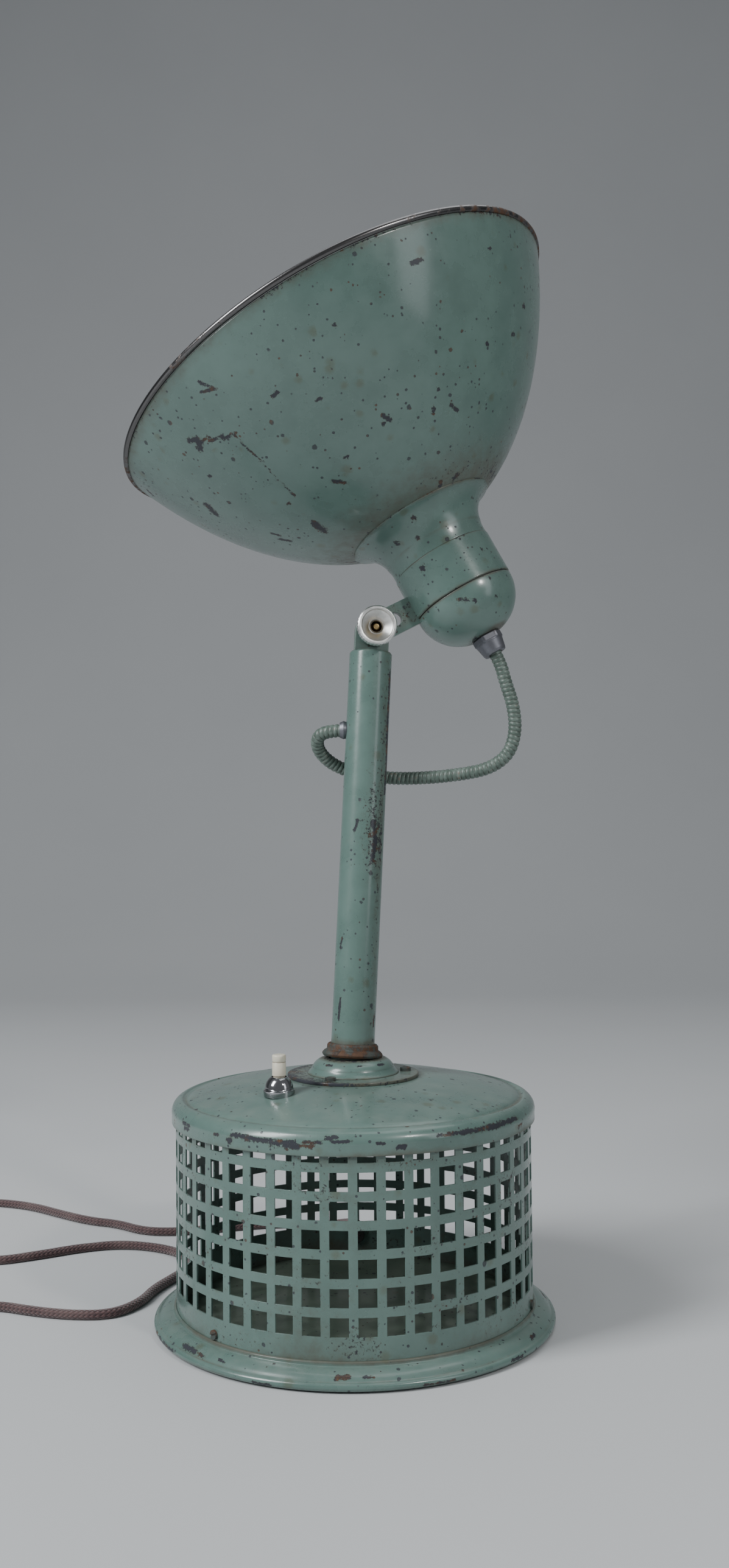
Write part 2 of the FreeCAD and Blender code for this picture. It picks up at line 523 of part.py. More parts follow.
def cord_parts():
    save("conduit", tube("conduit", conduit_route(), CONDUIT_R))
    save("mains_cord", tube("mains_cord", CORD_POINTS, CORD_R))
    ring = cylinder(COIL_MEAN_R + COIL_BAND / 2, COIL_HEIGHT, V(COIL_X, COIL_Y, 0)).cut(
        cylinder(COIL_MEAN_R - COIL_BAND / 2, 20, V(COIL_X, COIL_Y, -5)))
    save("cord_coil", ring)
    save("cord_tail", tube("cord_tail", TAIL_POINTS, CORD_R))
    wall = 0.8
    tie = Part.makeBox(COIL_BAND + 2 * wall, 6.0, COIL_HEIGHT + wall,
                       V(COIL_X + COIL_MEAN_R - COIL_BAND / 2 - wall, COIL_Y - 3, 0.0))
    tie = tie.cut(ring)
    save("cord_tie", tie)
    body = cylinder(PLUG_R, 26.0, V(PLUG_X, PLUG_Y - 8.0, PLUG_R), V(0, -1, 0))
    neck = Part.makeCone(4.2, 7.5, 8.0, V(PLUG_X, PLUG_Y, PLUG_R), V(0, -1, 0))
    save("plug_body", body.fuse(neck).removeSplitter())
    for i, dx in enumerate((-6.3, 6.3)):
        pin = cylinder(2.4, 19.0, V(PLUG_X + dx, PLUG_Y - 34.0, PLUG_R), V(0, -1, 0))
        save("plug_pin_%d" % (i + 1), pin)
    grommet = revolve([(CORD_R + 0.05, -4.0), (5.6, -4.0), (5.6, -1.4), (4.4, -1.4), (4.4, 0.2), (5.6, 0.2),
                       (5.6, 2.0), (4.9, 3.0), (CORD_R + 0.9, 22.0), (CORD_R + 0.05, 22.0)])
    grommet.rotate(V(0, 0, 0), V(1, 0, 0), -90)
    grommet.translate(V(0, DRUM_R, CORD_EXIT_Z))
    save("cord_grommet", grommet)
    entry = conduit_route()[-1]
    sleeve = cylinder(BUSHING_R + 0.9, 11.0, V(entry[0] - 11.5, entry[1], entry[2]), V(1, 0, 0))
    sleeve = sleeve.cut(moved(cylinder(POST_R, 300, V(0, 0, 0)), post_frame))
    inner = cylinder(BUSHING_R, 10.0, V(entry[0] - 11.5, entry[1], entry[2]), V(1, 0, 0))
    sleeve = sleeve.fuse(inner).removeSplitter()
    sleeve = sleeve.cut(cylinder(CONDUIT_R + 0.05, 30, V(entry[0] - 20, entry[1], entry[2]), V(1, 0, 0)))
    save("conduit_bushing", sleeve)


# ---------------------------------------------------------------- assembly
save("foot_skirt", foot_skirt())
drum_panels()
for number, screw_angle in enumerate(SCREW_ANGLES):
    outward = polar(1, screw_angle, 0)
    at = polar(DRUM_R, screw_angle, SCREW_Z)
    save("skirt_screw_%d" % (number + 1), screw(at, outward, 2.6, 1.6, SCREW_SHANK_R, 4))
save("base_cover", base_cover())
save("floor_plate", floor_plate())
for number in range(3):
    pad_at = polar(PAD_AT_R, 60 + number * 120, 0)
    save("foot_pad_%d" % (number + 1), cylinder(PAD_R, FLOOR_Z, pad_at))
save("centre_pad", cylinder(CENTRE_PAD_R, FLOOR_Z, V(0, 0, 0)))
switch_parts()
hub_parts()
post_parts()
fork_parts()
head_parts()
cord_parts()
print(len(volumes), "parts")
print("pivot", pivot, "bolt", bolt_dir, "post", post_dir)
print("rim", rim_centre, "face", face_dir, "head x", head_x, "head y", head_y)
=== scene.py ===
"""Tilting reflector lamp: the visible surfaces, materials, cord, lights and camera.

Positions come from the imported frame.  Profiles are written in millimetres and turned into metres by MM.
Angles round the base are counted from the front (-Y) towards +X.
"""
import json
import math

import bmesh
import bpy
import numpy as np
from mathutils import Matrix, Vector


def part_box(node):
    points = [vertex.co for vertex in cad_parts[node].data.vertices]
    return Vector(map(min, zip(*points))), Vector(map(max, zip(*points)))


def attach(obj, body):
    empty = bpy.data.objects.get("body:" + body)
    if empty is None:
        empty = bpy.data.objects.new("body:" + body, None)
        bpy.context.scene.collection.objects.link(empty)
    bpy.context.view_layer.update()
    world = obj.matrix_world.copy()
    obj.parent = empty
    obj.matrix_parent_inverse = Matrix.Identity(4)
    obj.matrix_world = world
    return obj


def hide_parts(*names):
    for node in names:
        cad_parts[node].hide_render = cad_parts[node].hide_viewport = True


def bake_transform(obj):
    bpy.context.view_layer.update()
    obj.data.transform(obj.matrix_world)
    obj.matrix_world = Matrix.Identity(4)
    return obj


bl_info = {
    "name": "Reflector lamp",
    "version": (1, 0, 0),
    "blender": (4, 2, 0),
    "location": "View3D > Sidebar > Lamp",
    "description": "Builds a perforated-base table lamp with a tilting bowl",
    "category": "Object",
}

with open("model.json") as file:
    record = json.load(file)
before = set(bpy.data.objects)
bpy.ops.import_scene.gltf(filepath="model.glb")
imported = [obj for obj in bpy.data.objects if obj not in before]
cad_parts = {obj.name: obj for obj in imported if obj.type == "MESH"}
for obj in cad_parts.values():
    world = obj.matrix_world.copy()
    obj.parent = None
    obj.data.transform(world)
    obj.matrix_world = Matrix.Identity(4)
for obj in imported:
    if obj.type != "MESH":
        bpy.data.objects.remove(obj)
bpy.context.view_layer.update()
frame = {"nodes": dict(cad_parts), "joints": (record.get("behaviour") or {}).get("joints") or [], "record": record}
MM = 0.001
RANDOM = np.random.default_rng(7)

# ---------------------------------------------------------------- dimensions, millimetres
DRUM_R = 105.0
DRUM_LOW, DRUM_HIGH = 3.0, 124.5
FIRST_ROW_Z = 29.3
COLUMN_OFFSET = -3.95
SCREW_Z = 15.4
SKIRT_SCREWS = (-46.0, 74.0, 194.0)
FLANGE_Z = 142.0
FLANGE_T = 1.8
FLANGE_R = 39.0
FLANGE_SCREWS = (-24.0, 96.0, 216.0)
FLANGE_SCREW_AT = 31.5
POST_FOOT_Z = 161.0
POST_R, POST_WALL = 13.0, 1.5
POST_SUNK, POST_TOP = 15.0, 236.5
EAR_W, EAR_T, EAR_DROP = 21.0, 5.0, 12.5
ARM_W, ARM_T = 18.0, 5.0
ARM_REACH = 34.4
BOLT_R = 3.0
GAP = 0.3
KNOB_R, KNOB_L = 12.0, 15.0
BOWL_MOUTH_R, BOWL_A, BOWL_B = 146.6, 128.9, 0.342
BOWL_START, BOWL_END = 4.15, 119.6
BEAD_R = 1.9
NECK_R = 31.6
SEAM_S = 169.6
CAP_S = SEAM_S + 0.6
CAP_DEPTH = 27.5
GLAND_S = CAP_S + CAP_DEPTH
SWITCH_AT = (-41.3, -46.0)
CONDUIT_R = 4.1
BUSHING_AT = (-3.0, 12.0, 349.0)
CORD_EXIT_Z = 18.4
COIL_AT = (-284.0, -38.0)
PLUG_AT = (-314.0, -104.0, 9.0)
CORD_DIAMETER = 0.0058


# ---------------------------------------------------------------- settings shown in the panel
class LampSheetSettings(bpy.types.PropertyGroup):
    """Perforated sheet of the drum."""
    hole: bpy.props.FloatProperty(
        name="Hole", description="Side of one square hole", default=10.0 * MM, unit="LENGTH")
    columns: bpy.props.IntProperty(name="Columns", description="Holes round the drum", default=44, min=12)
    rows: bpy.props.IntProperty(name="Rows", description="Rows of holes", default=7, min=1)
    pitch: bpy.props.FloatProperty(
        name="Pitch", description="Height from one row of holes to the next", default=15.0 * MM,
        unit="LENGTH")


class LampHoseSettings(bpy.types.PropertyGroup):
    """Ribs of the armoured hose."""
    rib_pitch: bpy.props.FloatProperty(
        name="Rib pitch", description="Distance between two ribs of the hose", default=2.7 * MM,
        unit="LENGTH")
    rib_depth: bpy.props.FloatProperty(
        name="Rib depth", description="Depth of the groove between ribs", default=0.6 * MM, unit="LENGTH")


class LampWearSettings(bpy.types.PropertyGroup):
    """Age of the paint."""
    dents: bpy.props.FloatProperty(
        name="Dents", description="Height of the waves hammered into the bowl", default=0.22 * MM,
        unit="LENGTH")
    bowl_rings: bpy.props.IntProperty(
        name="Bowl rings", description="Rings of faces between the rim and the neck", default=110, min=20)
    bowl_sectors: bpy.props.IntProperty(
        name="Bowl sectors", description="Faces round the bowl", default=480, min=48)


# ---------------------------------------------------------------- frames
def unit(vector):
    return vector / np.linalg.norm(vector)


def box_centre(node):
    low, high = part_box(node)
    return (np.array(low) + np.array(high)) / 2


def placing(origin, x_axis, y_axis, z_axis):
    """4x4 matrix whose columns are the axes and the origin, in metres."""
    matrix = np.eye(4)
    matrix[:3, 0], matrix[:3, 1], matrix[:3, 2], matrix[:3, 3] = x_axis, y_axis, z_axis, origin
    return matrix


def turned(matrix, axis, degrees):
    """The same frame, turned about one of its own axes."""
    return matrix @ np.array(Matrix.Rotation(math.radians(degrees), 4, axis))


def shifted(matrix, x=0.0, y=0.0, z=0.0):
    """The same frame, moved along its own axes by millimetres."""
    moved = matrix.copy()
    moved[:3, 3] += matrix[:3, :3] @ np.array((x, y, z)) * MM
    return moved


TILT = next(joint for joint in frame["joints"] if joint["name"] == "head_tilt")
PIVOT = np.array(TILT["pos_m"])
BOLT = unit(np.array(TILT["axis"]))
BASE = np.eye(4)
POST_FOOT = np.array((0.0, 0.0, POST_FOOT_Z * MM))
POST_DIR = unit(PIVOT - POST_FOOT)
POST = placing(POST_FOOT, np.cross(BOLT, POST_DIR), BOLT, POST_DIR)
FORK = placing(PIVOT, np.cross(BOLT, POST_DIR), BOLT, POST_DIR)
FACE = unit(box_centre("bowl_rim_bead") - box_centre("lamp_holder_plate"))
HEAD_X = unit(np.cross(BOLT, FACE))
RIM = box_centre("bowl_rim_bead") + FACE * BEAD_R * MM
HEAD = placing(RIM, HEAD_X, np.cross(FACE, HEAD_X), FACE)
ARM_Z = unit(np.cross(HEAD_X, BOLT))
ARM = placing(PIVOT, np.cross(BOLT, ARM_Z), BOLT, ARM_Z)


def polar(radius, degrees, z):
    angle = math.radians(degrees)
    return radius * math.sin(angle), -radius * math.cos(angle), z


def arc(start, middle, end, count=10):
    """Points of the circle arc through three (r, h) points, as smooth outline points."""
    (ax, ay), (bx, by), (cx, cy) = start, middle, end
    d = 2 * (ax * (by - cy) + bx * (cy - ay) + cx * (ay - by))
    ux = ((ax ** 2 + ay ** 2) * (by - cy) + (bx ** 2 + by ** 2) * (cy - ay) + (cx ** 2 + cy ** 2)
          * (ay - by)) / d
    uy = ((ax ** 2 + ay ** 2) * (cx - bx) + (bx ** 2 + by ** 2) * (ax - cx) + (cx ** 2 + cy ** 2)
          * (bx - ax)) / d
    radius = math.hypot(ax - ux, ay - uy)
    first = math.atan2(ay - uy, ax - ux)
    half = math.remainder(math.atan2(by - uy, bx - ux) - first, 2 * math.pi)
    last = math.remainder(math.atan2(cy - uy, cx - ux) - first, 2 * math.pi)
    if half * last < 0 or abs(last) < abs(half):
        last -= math.copysign(2 * math.pi, last)
    steps = [first + last * i / count for i in range(count + 1)]
    return [(ux + radius * math.cos(t), uy + radius * math.sin(t), 0.0) for t in steps]


def rounded(points, radius=0.35, steps=3, closed=True):
    """Outline with filleted corners.

    A point is (r, h) or (r, h, fillet).  A fillet of 0 leaves the point alone.  Each fillet is held by one
    more point on either side, so that smooth shading stays on the corner.
    """
    count = len(points)
    result = []
    for i, point in enumerate(points):
        here = np.array(point[:2], float)
        wanted = point[2] if len(point) > 2 else radius
        inner = closed or 0 < i < count - 1
        before = np.array(points[i - 1][:2], float) - here
        after = np.array(points[(i + 1) % count][:2], float) - here
        la, lb = np.linalg.norm(before), np.linalg.norm(after)
        if wanted <= 0 or not inner or la < 1e-9 or lb < 1e-9:
            result.append(tuple(here))
            continue
        cosine = float(np.clip(before @ after / (la * lb), -1, 1))
        opening = math.acos(cosine)
        if opening > math.radians(172):
            result.append(tuple(here))
            continue
        cut = min(wanted / math.tan(opening / 2), 0.4 * la, 0.4 * lb)
        a, b = here + before / la * cut, here + after / lb * cut
        hold_a, hold_b = min(0.25, 0.25 * (la - cut)), min(0.25, 0.25 * (lb - cut))
        result.append(tuple(a + before / la * hold_a))
        for k in range(steps + 1):
            t = k / steps
            result.append(tuple((1 - t) ** 2 * a + 2 * t * (1 - t) * here + t ** 2 * b))
        result.append(tuple(b + after / lb * hold_b))
    return result


# ---------------------------------------------------------------- meshes
def finish_mesh(name, mesh, body, material, nodes, closed=True):
    """Clean the mesh, shade it smooth, and hang it on its body in place of CAD nodes."""
    work = bmesh.new()
    work.from_mesh(mesh)
    bmesh.ops.remove_doubles(work, verts=work.verts, dist=1e-7)
    if closed:
        bmesh.ops.recalc_face_normals(work, faces=work.faces)
    work.to_mesh(mesh)
    work.free()
    mesh.shade_smooth()
    piece = bpy.data.objects.new(name, mesh)
    bpy.context.scene.collection.objects.link(piece)
    mesh.materials.append(bpy.data.materials[material])
    if body:
        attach(piece, body)
    if nodes:
        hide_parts(*nodes)
    return piece


def grid_faces(rows, columns, close_rows, close_columns):
    """Indices of the quads of a rows x columns grid of points, wrapped where asked."""
    i = np.arange(rows if close_rows else rows - 1)
    j = np.arange(columns if close_columns else columns - 1)
    i, j = np.meshgrid(i, j, indexing="ij")
    i2, j2 = (i + 1) % rows, (j + 1) % columns
    return np.stack([i * columns + j, i * columns + j2, i2 * columns + j2, i2 * columns + j],
                    -1).reshape(-1, 4)


def grid_mesh(name, points, close_rows, close_columns, uv_scale=(1.0, 1.0)):
    """Mesh over a (rows, columns, 3) array; UV counts columns and rows, scaled."""
    rows, columns = points.shape[:2]
    faces = grid_faces(rows, columns, close_rows, close_columns)
    mesh = bpy.data.meshes.new(name)
    mesh.from_pydata(points.reshape(-1, 3).tolist(), [], faces.tolist())
    i, j = faces // columns, faces % columns
    wrap_j = (j == 0) & (j.max(axis=1, keepdims=True) == columns - 1)
    wrap_i = (i == 0) & (i.max(axis=1, keepdims=True) == rows - 1)
    u = np.where(wrap_j, columns, j) / columns * uv_scale[0]
    v = np.where(wrap_i, rows, i) / rows * uv_scale[1]
    layer = mesh.uv_layers.new(name="UVMap")
    layer.data.foreach_set("uv", np.stack([u, v], -1).reshape(-1).astype(np.float32))
    return mesh


def transform(points, matrix):
    """Points in millimetres of a local frame, moved into the row frame in metres."""
    return points * MM @ matrix[:3, :3].T + matrix[:3, 3]


def lathe_points(profile, sectors):
    """Surface of revolution: (r sin t, -r cos t, h) for every outline point (r, h) and angle t."""
    profile = np.array(profile, float)
    t = np.arange(sectors) * 2 * math.pi / sectors
    r, h = profile[:, :1], profile[:, 1:2]
    return np.stack([r * np.sin(t), -r * np.cos(t), np.broadcast_to(h, (len(profile), sectors))], -1)


def write_marks(piece, field, values):
    """Store one number per vertex for the materials."""
    attribute = piece.data.attributes.new(field, "FLOAT", "POINT")
    attribute.data.foreach_set("value", np.asarray(values, np.float32))


def vertices(piece):
    flat = np.empty(len(piece.data.vertices) * 3)
    piece.data.vertices.foreach_get("co", flat)
    return flat.reshape(-1, 3)


def lathe(name, profile, place, body, material, nodes, sectors=96):
    """Closed turned part from an outline."""
    mesh = grid_mesh(name, transform(lathe_points(profile, sectors), place), True, True)
    return finish_mesh(name, mesh, body, material, nodes)


def plate(name, loops, thickness, place, body, material, nodes, bevel=0.5):
    """Flat plate: an outer loop and holes in the frame's XZ plane, thick along its Y, with rounded edges."""
    work = bmesh.new()
    edges = []
    for loop in loops:
        ring = [work.verts.new((x, -thickness / 2, z)) for x, z in loop]
        edges += [work.edges.new((ring[k - 1], ring[k])) for k in range(len(ring))]
    bmesh.ops.triangle_fill(work, edges=edges, use_beauty=True, use_dissolve=True)
    grown = bmesh.ops.extrude_face_region(work, geom=work.faces[:])
    moved = [item for item in grown["geom"] if isinstance(item, bmesh.types.BMVert)]
    bmesh.ops.translate(work, verts=moved, vec=(0, thickness, 0))
    bmesh.ops.recalc_face_normals(work, faces=work.faces)
    for vert in work.verts:
        vert.co = Vector(transform(np.array(vert.co), place))
    mesh = bpy.data.meshes.new(name)
    work.to_mesh(mesh)
    work.free()
    mesh.uv_layers.new(name="UVMap")
    piece = finish_mesh(name, mesh, body, material, nodes)
    add_bevel(piece, bevel)
    return piece


def add_bevel(piece, width, segments=3, angle=40.0):
    soft = piece.modifiers.new("Rounded edges", "BEVEL")
    soft.width = width * MM
    soft.segments = segments
    soft.limit_method = "ANGLE"
    soft.angle_limit = math.radians(angle)
    soft.harden_normals = True


def circle(radius, count=32, centre=(0.0, 0.0)):
    return [(centre[0] + radius * math.cos(2 * math.pi * k / count),
             centre[1] + radius * math.sin(2 * math.pi * k / count)) for k in range(count)]


def screw_head(name, at, outward, radius, height, body, nodes, slot_turn):
    """Cheese-head screw: a domed head whose sectors either side of the slot stand higher."""
    z_axis = unit(np.array(outward, float))
    x_axis = unit(np.cross(z_axis, (0.3, 0.2, 0.93) if abs(z_axis[2]) < 0.9 else (1.0, 0.0, 0.0)))
    place = turned(placing(np.array(at) * MM, x_axis, np.cross(z_axis, x_axis), z_axis), "Z", slot_turn)
    half = 0.5
    width = math.sqrt(radius ** 2 - half ** 2)
    lobe = [(-width, half)] + [(radius * math.cos(a), radius * math.sin(a))
                               for a in np.linspace(math.pi - math.asin(half / radius),
                                                    math.asin(half / radius), 14)]
    work = bmesh.new()
    for sign in (1, -1):
        low = [work.verts.new((x, y * sign, -0.5)) for x, y in lobe]
        high = [work.verts.new((x, y * sign, height * (1 - 0.12 * (x * x + y * y) / radius ** 2)))
                for x, y in lobe]
        work.faces.new(low)
        work.faces.new(high)
        for k in range(len(lobe)):
            work.faces.new((low[k - 1], low[k], high[k], high[k - 1]))
    floor_low = [work.verts.new((x * 0.99, y * 0.99, -0.5)) for x, y in circle(radius, 28)]
    floor_high = [work.verts.new((x * 0.99, y * 0.99, height * 0.45)) for x, y in circle(radius, 28)]
    work.faces.new(floor_low)
    work.faces.new(floor_high)
    for k in range(28):
        work.faces.new((floor_low[k - 1], floor_low[k], floor_high[k], floor_high[k - 1]))
    for vert in work.verts:
        vert.co = Vector(transform(np.array(vert.co), place))
    mesh = bpy.data.meshes.new(name)
    work.to_mesh(mesh)
    work.free()
    piece = finish_mesh(name, mesh, body, "rusty_steel", nodes)
    add_bevel(piece, 0.15, segments=2)
    return piece


# ---------------------------------------------------------------- paths
def smooth_path(points, step):
    """Even points along the NURBS curve of order 3 that has these control points, all in metres."""
    curve = nurbs("route", points)
    holder = bpy.data.objects.new("route", curve)
    bpy.context.scene.collection.objects.link(holder)
    bpy.context.view_layer.update()
    line = bpy.data.meshes.new_from_object(holder.evaluated_get(bpy.context.evaluated_depsgraph_get()))
    found = np.array([v.co for v in line.vertices])
    bpy.data.objects.remove(holder)
    bpy.data.curves.remove(curve)
    bpy.data.meshes.remove(line)
    length = np.concatenate([[0], np.cumsum(np.linalg.norm(np.diff(found, axis=0), axis=1))])
    count = max(2, int(round(length[-1] / step)) + 1)
    wanted = np.linspace(0, length[-1], count)
    return np.stack([np.interp(wanted, length, found[:, k]) for k in range(3)], -1), length[-1]


def nurbs(name, points):
    """Curve of one open NURBS spline through its end points."""
    curve = bpy.data.curves.new(name, "CURVE")
    curve.dimensions = "3D"
    curve.resolution_u = 16
    spline = curve.splines.new("NURBS")
    spline.points.add(len(points) - 1)
    for target, point in zip(spline.points, points):
        target.co = (*point, 1.0)
    spline.order_u = 3
    spline.use_endpoint_u = True
    return curve


def path_frames(path):
    """Two unit vectors square to the path at every point, carried along without twisting."""
    tangent = np.gradient(path, axis=0)
    tangent /= np.linalg.norm(tangent, axis=1, keepdims=True)
    side = np.empty_like(path)
    start = np.cross(tangent[0], (0.0, 0.0, 1.0))
    if np.linalg.norm(start) < 0.1:
        start = np.cross(tangent[0], (1.0, 0.0, 0.0))
    side[0] = unit(start)
    for k in range(1, len(path)):
        side[k] = unit(side[k - 1] - tangent[k] * (side[k - 1] @ tangent[k]))
    return side, np.cross(tangent, side)


def sweep(name, path, radius, sectors, turns):
    """Tube along a path; radius is an array of (points, sectors), and UV is in turns and in metres."""
    side, up = path_frames(path)
    t = np.arange(sectors) * 2 * math.pi / sectors
    ring = side[:, None] * np.cos(t)[None, :, None] + up[:, None] * np.sin(t)[None, :, None]
    points = path[:, None] + ring * radius[..., None]
    for end in (0, -1):
        cap = np.repeat(path[end][None, None], sectors, axis=1)
        points = np.concatenate([cap, points] if end == 0 else [points, cap])
    length = np.linalg.norm(np.diff(path, axis=0), axis=1).sum()
    return grid_mesh(name, points, False, True, (turns, length))


# ---------------------------------------------------------------- material helpers
def put(tree, kind, inputs=None, **settings):
    """Add a node; inputs maps socket names or numbers to values or to sockets to link from."""
    made = tree.nodes.new("ShaderNode" + kind)
    for key, value in settings.items():
        setattr(made, key, value)
    for key, value in (inputs or {}).items():
        if isinstance(value, bpy.types.NodeSocket):
            tree.links.new(value, made.inputs[key])
        else:
            made.inputs[key].default_value = value
    return made


def calc(tree, operation, *values):
    return put(tree, "Math", dict(enumerate(values)), operation=operation).outputs[0]


def step_up(tree, value, low, high):
    """0 below low, 1 above high, smooth between."""
    spread = put(tree, "MapRange", {0: value, 1: low, 2: high}, interpolation_type="SMOOTHSTEP")
    return spread.outputs[0]


def blend_colour(tree, factor, first, second, mode="MIX"):
    return put(tree, "Mix", {0: factor, 6: first, 7: second}, data_type="RGBA", blend_type=mode).outputs[2]


def noise(tree, vector, scale, detail=4.0, roughness=0.55):
    inputs = {"Vector": vector, "Scale": scale, "Detail": detail, "Roughness": roughness}
    return put(tree, "TexNoise", inputs).outputs["Fac"]


def field(tree, name):
    return put(tree, "Attribute", attribute_name=name).outputs["Fac"]


def object_coords(tree):
    return put(tree, "TexCoord").outputs["Object"]


def uv_parts(tree):
    split = put(tree, "SeparateXYZ", {0: put(tree, "TexCoord").outputs["UV"]})
    return split.outputs[0], split.outputs[1]


def new_group(name, inputs, outputs):
    """Empty node group: sockets as (label, kind) pairs."""
    group = bpy.data.node_groups.new(name, "ShaderNodeTree")
    for label, kind in inputs:
        group.interface.new_socket(label, in_out="INPUT", socket_type="NodeSocket" + kind)
    for label, kind in outputs:
        group.interface.new_socket(label, in_out="OUTPUT", socket_type="NodeSocket" + kind)
    source = group.nodes.new("NodeGroupInput")
    sink = group.nodes.new("NodeGroupOutput")
    return group, source.outputs, sink.inputs


def use_group(tree, name, inputs):
    made = tree.nodes.new("ShaderNodeGroup")
    made.node_tree = bpy.data.node_groups[name]
    for key, value in inputs.items():
        if isinstance(value, bpy.types.NodeSocket):
            tree.links.new(value, made.inputs[key])
        else:
            made.inputs[key].default_value = value
    return made.outputs


def group_rust():
    """Rust: mixed browns and a grainy height."""
    group, got, give = new_group(
        "rust", [("Vector", "Vector")], [("Color", "Color"), ("Height", "Float")])
    coarse = noise(group, got["Vector"], 260.0, 6.0)
    fine = noise(group, got["Vector"], 1400.0, 4.0)
    tone = blend_colour(group, step_up(group, coarse, 0.38, 0.62), (0.034, 0.021, 0.016, 1),
                        (0.085, 0.041, 0.021, 1))
    tone = blend_colour(group, step_up(group, fine, 0.5, 0.75), tone, (0.125, 0.066, 0.032, 1))
    group.links.new(tone, give["Color"])
    group.links.new(calc(group, "MULTIPLY_ADD", coarse, 0.6, fine), give["Height"])


def scatter(group, vector, scale, share, reach, wobble):
    """Distance inside scattered round spots: positive in a spot, for the given share of the cells."""
    dots = put(group, "TexVoronoi", {"Vector": vector, "Scale": scale, "Randomness": 1.0})
    size = put(group, "SeparateColor", {0: dots.outputs["Color"]}).outputs[0]
    reach = calc(group, "MULTIPLY", step_up(group, size, 1.0 - share, 1.05), reach)
    return calc(group, "SUBTRACT", reach, calc(group, "ADD", dots.outputs["Distance"], wobble))


def group_chips():
    """Chips where the Wear field passes one half, frayed by noise, with scattered specks and faint stains."""
    group, got, give = new_group(
        "chips", [("Vector", "Vector"), ("Wear", "Float"), ("Specks", "Float")],
        [("Mask", "Float"), ("Rim", "Float"), ("Stain", "Float")])
    where = got["Vector"]
    ragged = noise(group, where, 420.0, 8.0, 0.75)
    fine = noise(group, where, 1500.0, 3.0)
    edge = calc(group, "ADD", got["Wear"], calc(group, "MULTIPLY_ADD", ragged, 2.4, -1.2))
    edge = calc(group, "ADD", edge, calc(group, "MULTIPLY_ADD", fine, 0.5, -0.25))
    worn = step_up(group, got["Wear"], 0.05, 0.25)
    chip = calc(group, "MULTIPLY", step_up(group, edge, 0.46, 0.58), worn)
    wobble = calc(group, "MULTIPLY_ADD", ragged, 0.5, -0.25)
    patchy = step_up(group, noise(group, where, 22.0, 3.0), 0.36, 0.56)
    room = calc(group, "MULTIPLY", patchy, got["Specks"])
    large = calc(group, "MULTIPLY", scatter(group, where, 170.0, 0.20, 0.34, wobble), room)
    small = calc(group, "MULTIPLY", scatter(group, where, 420.0, 0.26, 0.42, wobble), room)
    speck = calc(group, "MAXIMUM", step_up(group, large, 0.0, 0.05), step_up(group, small, 0.0, 0.06))
    group.links.new(calc(group, "MAXIMUM", chip, calc(group, "MULTIPLY", speck, 0.85)), give["Mask"])
    near = calc(group, "MULTIPLY", step_up(group, edge, 0.30, 0.5), worn)
    group.links.new(near, give["Rim"])
    soft = scatter(group, where, 120.0, 0.35, 0.55, wobble)
    group.links.new(step_up(group, soft, 0.0, 0.35), give["Stain"])


def group_mottle():
    """Cloudy paint: large soft clouds, mid blotches, brown grime and a fine brushed-on unevenness."""
    group, got, give = new_group(
        "mottle", [("Vector", "Vector"), ("Grime", "Float")],
        [("Cloud", "Float"), ("Grime", "Float"), ("Peel", "Float")])
    cloud = calc(group, "ADD", noise(group, got["Vector"], 14.0, 3.0),
                 calc(group, "MULTIPLY", noise(group, got["Vector"], 75.0, 5.0, 0.6), 0.6))
    group.links.new(step_up(group, cloud, 0.58, 1.02), give["Cloud"])
    streak = noise(group, got["Vector"], 160.0, 6.0, 0.7)
    dirt = calc(group, "ADD", calc(group, "MULTIPLY", got["Grime"], 1.15),
                calc(group, "MULTIPLY_ADD", streak, 0.9, -0.55))
    group.links.new(step_up(group, dirt, 0.12, 0.95), give["Grime"])
    peel = calc(group, "ADD", noise(group, got["Vector"], 330.0, 2.0),
                calc(group, "MULTIPLY", noise(group, got["Vector"], 55.0, 2.0), 1.5))
    group.links.new(peel, give["Peel"])


def group_dust():
    """Pale dust that settles where the surface faces up."""
    group, got, give = new_group("dust", [("Vector", "Vector")], [("Mask", "Float")])
    up = put(group, "SeparateXYZ", {0: put(group, "NewGeometry").outputs["Normal"]}).outputs[2]
    patches = noise(group, got["Vector"], 60.0, 5.0, 0.65)
    group.links.new(calc(group, "MULTIPLY", step_up(group, up, 0.55, 1.0), step_up(group, patches, 0.3, 0.8)),
                    give["Mask"])


def group_braid():
    """Plain braid over a round cord: u counts turns round it, v is metres along it."""
    group, got, give = new_group(
        "braid", [("U", "Float"), ("V", "Float")], [("Height", "Float"), ("Strand", "Float")])
    along = calc(group, "MULTIPLY", got["V"], 330.0)
    around = calc(group, "MULTIPLY", got["U"], 8.0)
    one = calc(group, "SINE", calc(group, "MULTIPLY", calc(group, "ADD", around, along), math.pi))
    two = calc(group, "SINE", calc(group, "MULTIPLY", calc(group, "SUBTRACT", around, along), math.pi))
    weave = calc(group, "MULTIPLY", one, two)
    group.links.new(calc(group, "ADD", calc(group, "ABSOLUTE", one), calc(group, "ABSOLUTE", two)),
                    give["Height"])
    group.links.new(step_up(group, weave, -0.2, 0.2), give["Strand"])


def new_material(name):
    """Material of this name, in place of the plain one that came with the frame."""
    plain = bpy.data.materials.get(name)
    if plain:
        bpy.data.materials.remove(plain)
    material = bpy.data.materials.new(name)
    material.use_nodes = True
    tree = material.node_tree
    shader = tree.nodes["Principled BSDF"]
    return material, tree, shader


